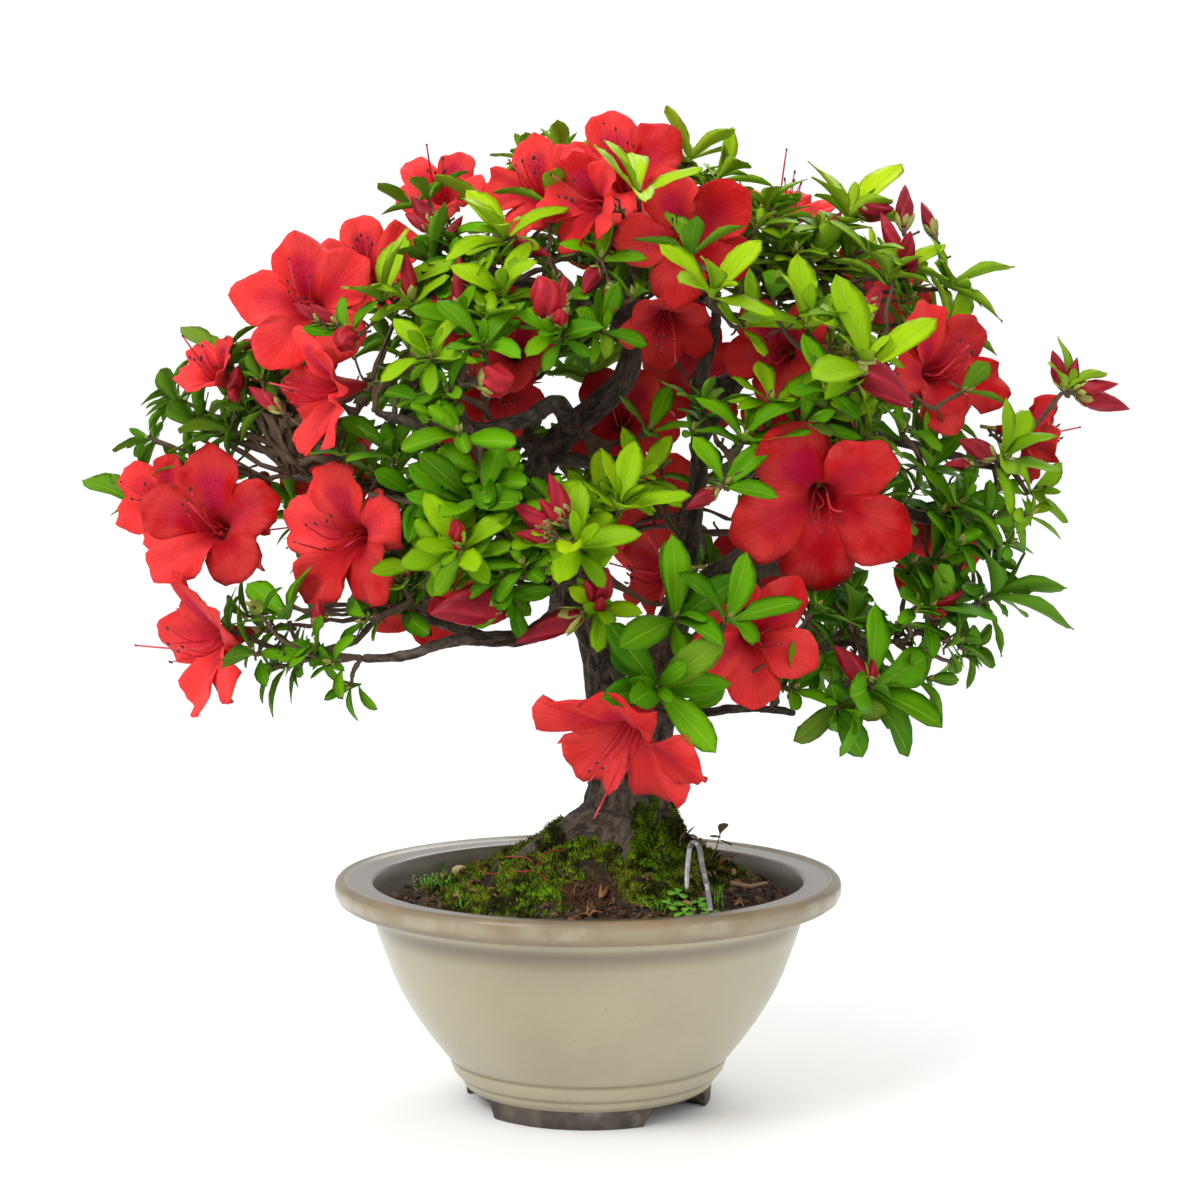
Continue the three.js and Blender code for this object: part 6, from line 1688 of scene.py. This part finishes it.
def twigLine(foot, place):                       # a crooked line from the wood to a whorl
    bow = stray(0.12) * (place - foot).length
    rows = [foot, foot.lerp(place, 0.4) + bow, foot.lerp(place, 0.75) + bow * 0.6, place]
    line = [Vector(row) for row in curveThrough([tuple(row) for row in rows], 4)]
    return line[:2] + [point + crook(point) * 1.3 for point in line[2:-2]] + line[-2:]


def growFiller(hub, blooms):                     # the leaves of a filler whorl
    axis, side = hub["axis"], sideOf(hub["axis"])
    spin, size = random.uniform(0, 6), random.uniform(*fill["leaf"]) * mm
    for k in range(random.choice((5, 6, 7, 8))):
        way = Matrix.Rotation(spin + k * leafTurn, 3, axis) @ side
        tilt = random.uniform(0.35, 0.7) if k < 2 else random.uniform(0.8, 1.5)
        leaf = {"start": hub["place"] - axis * (0 if k < 4 else random.uniform(1, 5)) * mm,
                "direction": axis * math.cos(tilt) + way * math.sin(tilt),
                "upper": axis * math.sin(tilt) - way * math.cos(tilt),
                "length": size * random.uniform(0.6, 1) * (0.65 if k < 2 else 1),
                "arch": random.uniform(0.05, 0.25), "large": False}
        if clearOfBlooms(leaf, blooms) and insideBox(leaf) and not hidesWood(tipOf(leaf)):
            yield leaf


def makeFillers(hubs, blooms):
    random.seed(7)
    made = sorted(fillerWhorls(hubs, blooms), key=lambda hub: hub["place"].x)
    share = math.ceil(len(made) / fill["pieces"])
    total = 0
    for k in range(fill["pieces"]):
        bm = tonedMesh()
        for hub in made[k * share:(k + 1) * share]:
            young = youthAt(hub["place"]) * 0.8
            part = tonedMesh()
            for leaf in growFiller(hub, blooms):
                leaf["broad"] = random.uniform(0.95, 1.2)
                addLeaf(part, leaf, random.choice(innerLeaves), leafTone(leaf, young))
                total += 1
            addWhorlScales(part, hub["place"], hub["axis"], young)
            line = hub["line"]
            radii = [blendOf(1.1, 0.7, i / len(line)) * mm * random.uniform(0.8, 1.3)
                     for i in range(len(line))]
            sweep(part, line, radii, 5)
            bm.from_mesh(meshOf(part))
        asPiece(f"inner_foliage_{k + 1}", bm, sprayFinishes)
    print(len(made), "filler whorls with", total, "leaves")


hangingSprays = ("left_low", "left_low_mid", "low_right_hanging", "right_low_leaf")


def makeSpray(name, blooms):
    node = "spray_" + name
    random.seed(node)
    own = [bloom for bloom in blooms if bloom.get("spray") == name]
    source = cadCopy(node)
    leaves, buds, spent = readTips(source)
    buds = [bud for bud in buds if not any(inBloom(bloom, bud["base"] + bud["direction"] * bud["length"], 0.1)
                                           for bloom in own)]
    bm = tonedMesh()
    bm.from_mesh(meshOf(twigSkin(source, spent, own)))
    addSpurs(bm, 26)
    layer = bm.verts.layers.float_color["tone"]
    for vert in bm.verts:
        vert[layer] = (0.4 + 0.3 * noise.noise(vert.co * 90), 0, 0, 1)
    for leaf in leaves:
        leaf["young"] = youthAt(leaf["start"])
        leaf["start"] = leaf["start"] + crook(leaf["start"])
    for bud in buds:
        bud["base"] = bud["base"] + crook(bud["base"])
    hubs = hubsOf(leaves)
    for hub in hubs:
        young = hub["leaves"][0]["young"]
        for leaf in hub["leaves"]:
            leaf["broad"] = random.uniform(0.95, 1.12) * (1.25 if name in hangingSprays else 1)
            shape = longLeaf if leaf["large"] else random.choice(leafShapes)
            addLeaf(bm, leaf, shape, leafTone(leaf, young))
        for leaf in extraLeaves(hub, blooms):
            leaf["broad"] = random.uniform(0.95, 1.2)
            lower = leaf["length"] > 0.5 * hub["leaves"][0]["length"]
            addLeaf(bm, leaf, random.choice(leafShapes), leafTone(leaf, young * (0.6 if lower else 1)))
        addWhorlScales(bm, hub["place"], hub["axis"], young)
    for bud in buds:
        addBud(bm, bud)
        for _ in range(random.choice((0, 1, 1, 2))):
            beside = besideBud(bud, blooms)
            if beside:
                addBud(bm, beside)
    piece = asPiece(node + "_foliage", bm, sprayFinishes)
    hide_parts(node)
    return leaves, buds, hubs


makePot()
makeSoil()
wood = makeWood()
makeMoss(wood)
print("pot, soil, wood and moss are in")
makeWire()
dressScreen()
makeLitter()
makeFibres()
print("wire, screen and litter are in")

twigBark = tonedMaterial("twig_bark", (0.050, 0.030, 0.018), (0.19, 0.130, 0.085), 0.9, 0.9,
                         **{"Specular IOR Level": 0.2})
budScales = tonedMaterial("bud_scales", (0.22, 0.13, 0.045), (0.42, 0.47, 0.09), 0.65, 0.4)
filaments = tonedMaterial("filaments", (0.38, 0.004, 0.018), (0.80, 0.060, 0.085), 0.5, 0.2)
anthers = tonedMaterial("anthers", (0.016, 0.006, 0.010), (0.05, 0.02, 0.022), 0.7, 0.4)
leafFinish, budFinish, petalFinish = leafMaterial(), budMaterial(), petalMaterial()
bloomFinishes = [petalFinish, filaments, anthers, budScales]
sprayFinishes = [twigBark, leafFinish, budFinish, budScales]

blooms = makeBlooms()
names = [spray for spray, rows in sprayBlooms.items() for _ in rows]
for bloom, spray in zip(blooms[len(openBlooms):], names):
    bloom["spray"] = spray
bloomMouths = []
for bloom in blooms[:len(openBlooms)]:
    across, rise, depth = frontOf(bloom["base"] + bloom["facing"] * 0.38 * bloom["span"])
    bloomMouths.append((across, rise, 0.4 * bloom["span"] / mm, depth))
grown = [makeSpray(node[6:], blooms) for node in sorted(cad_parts) if node.startswith("spray_")]
print("leaves, buds and whorls:", [sum(len(row[k]) for row in grown) for k in range(3)])
makeFillers([hub for row in grown for hub in row[2]], blooms)
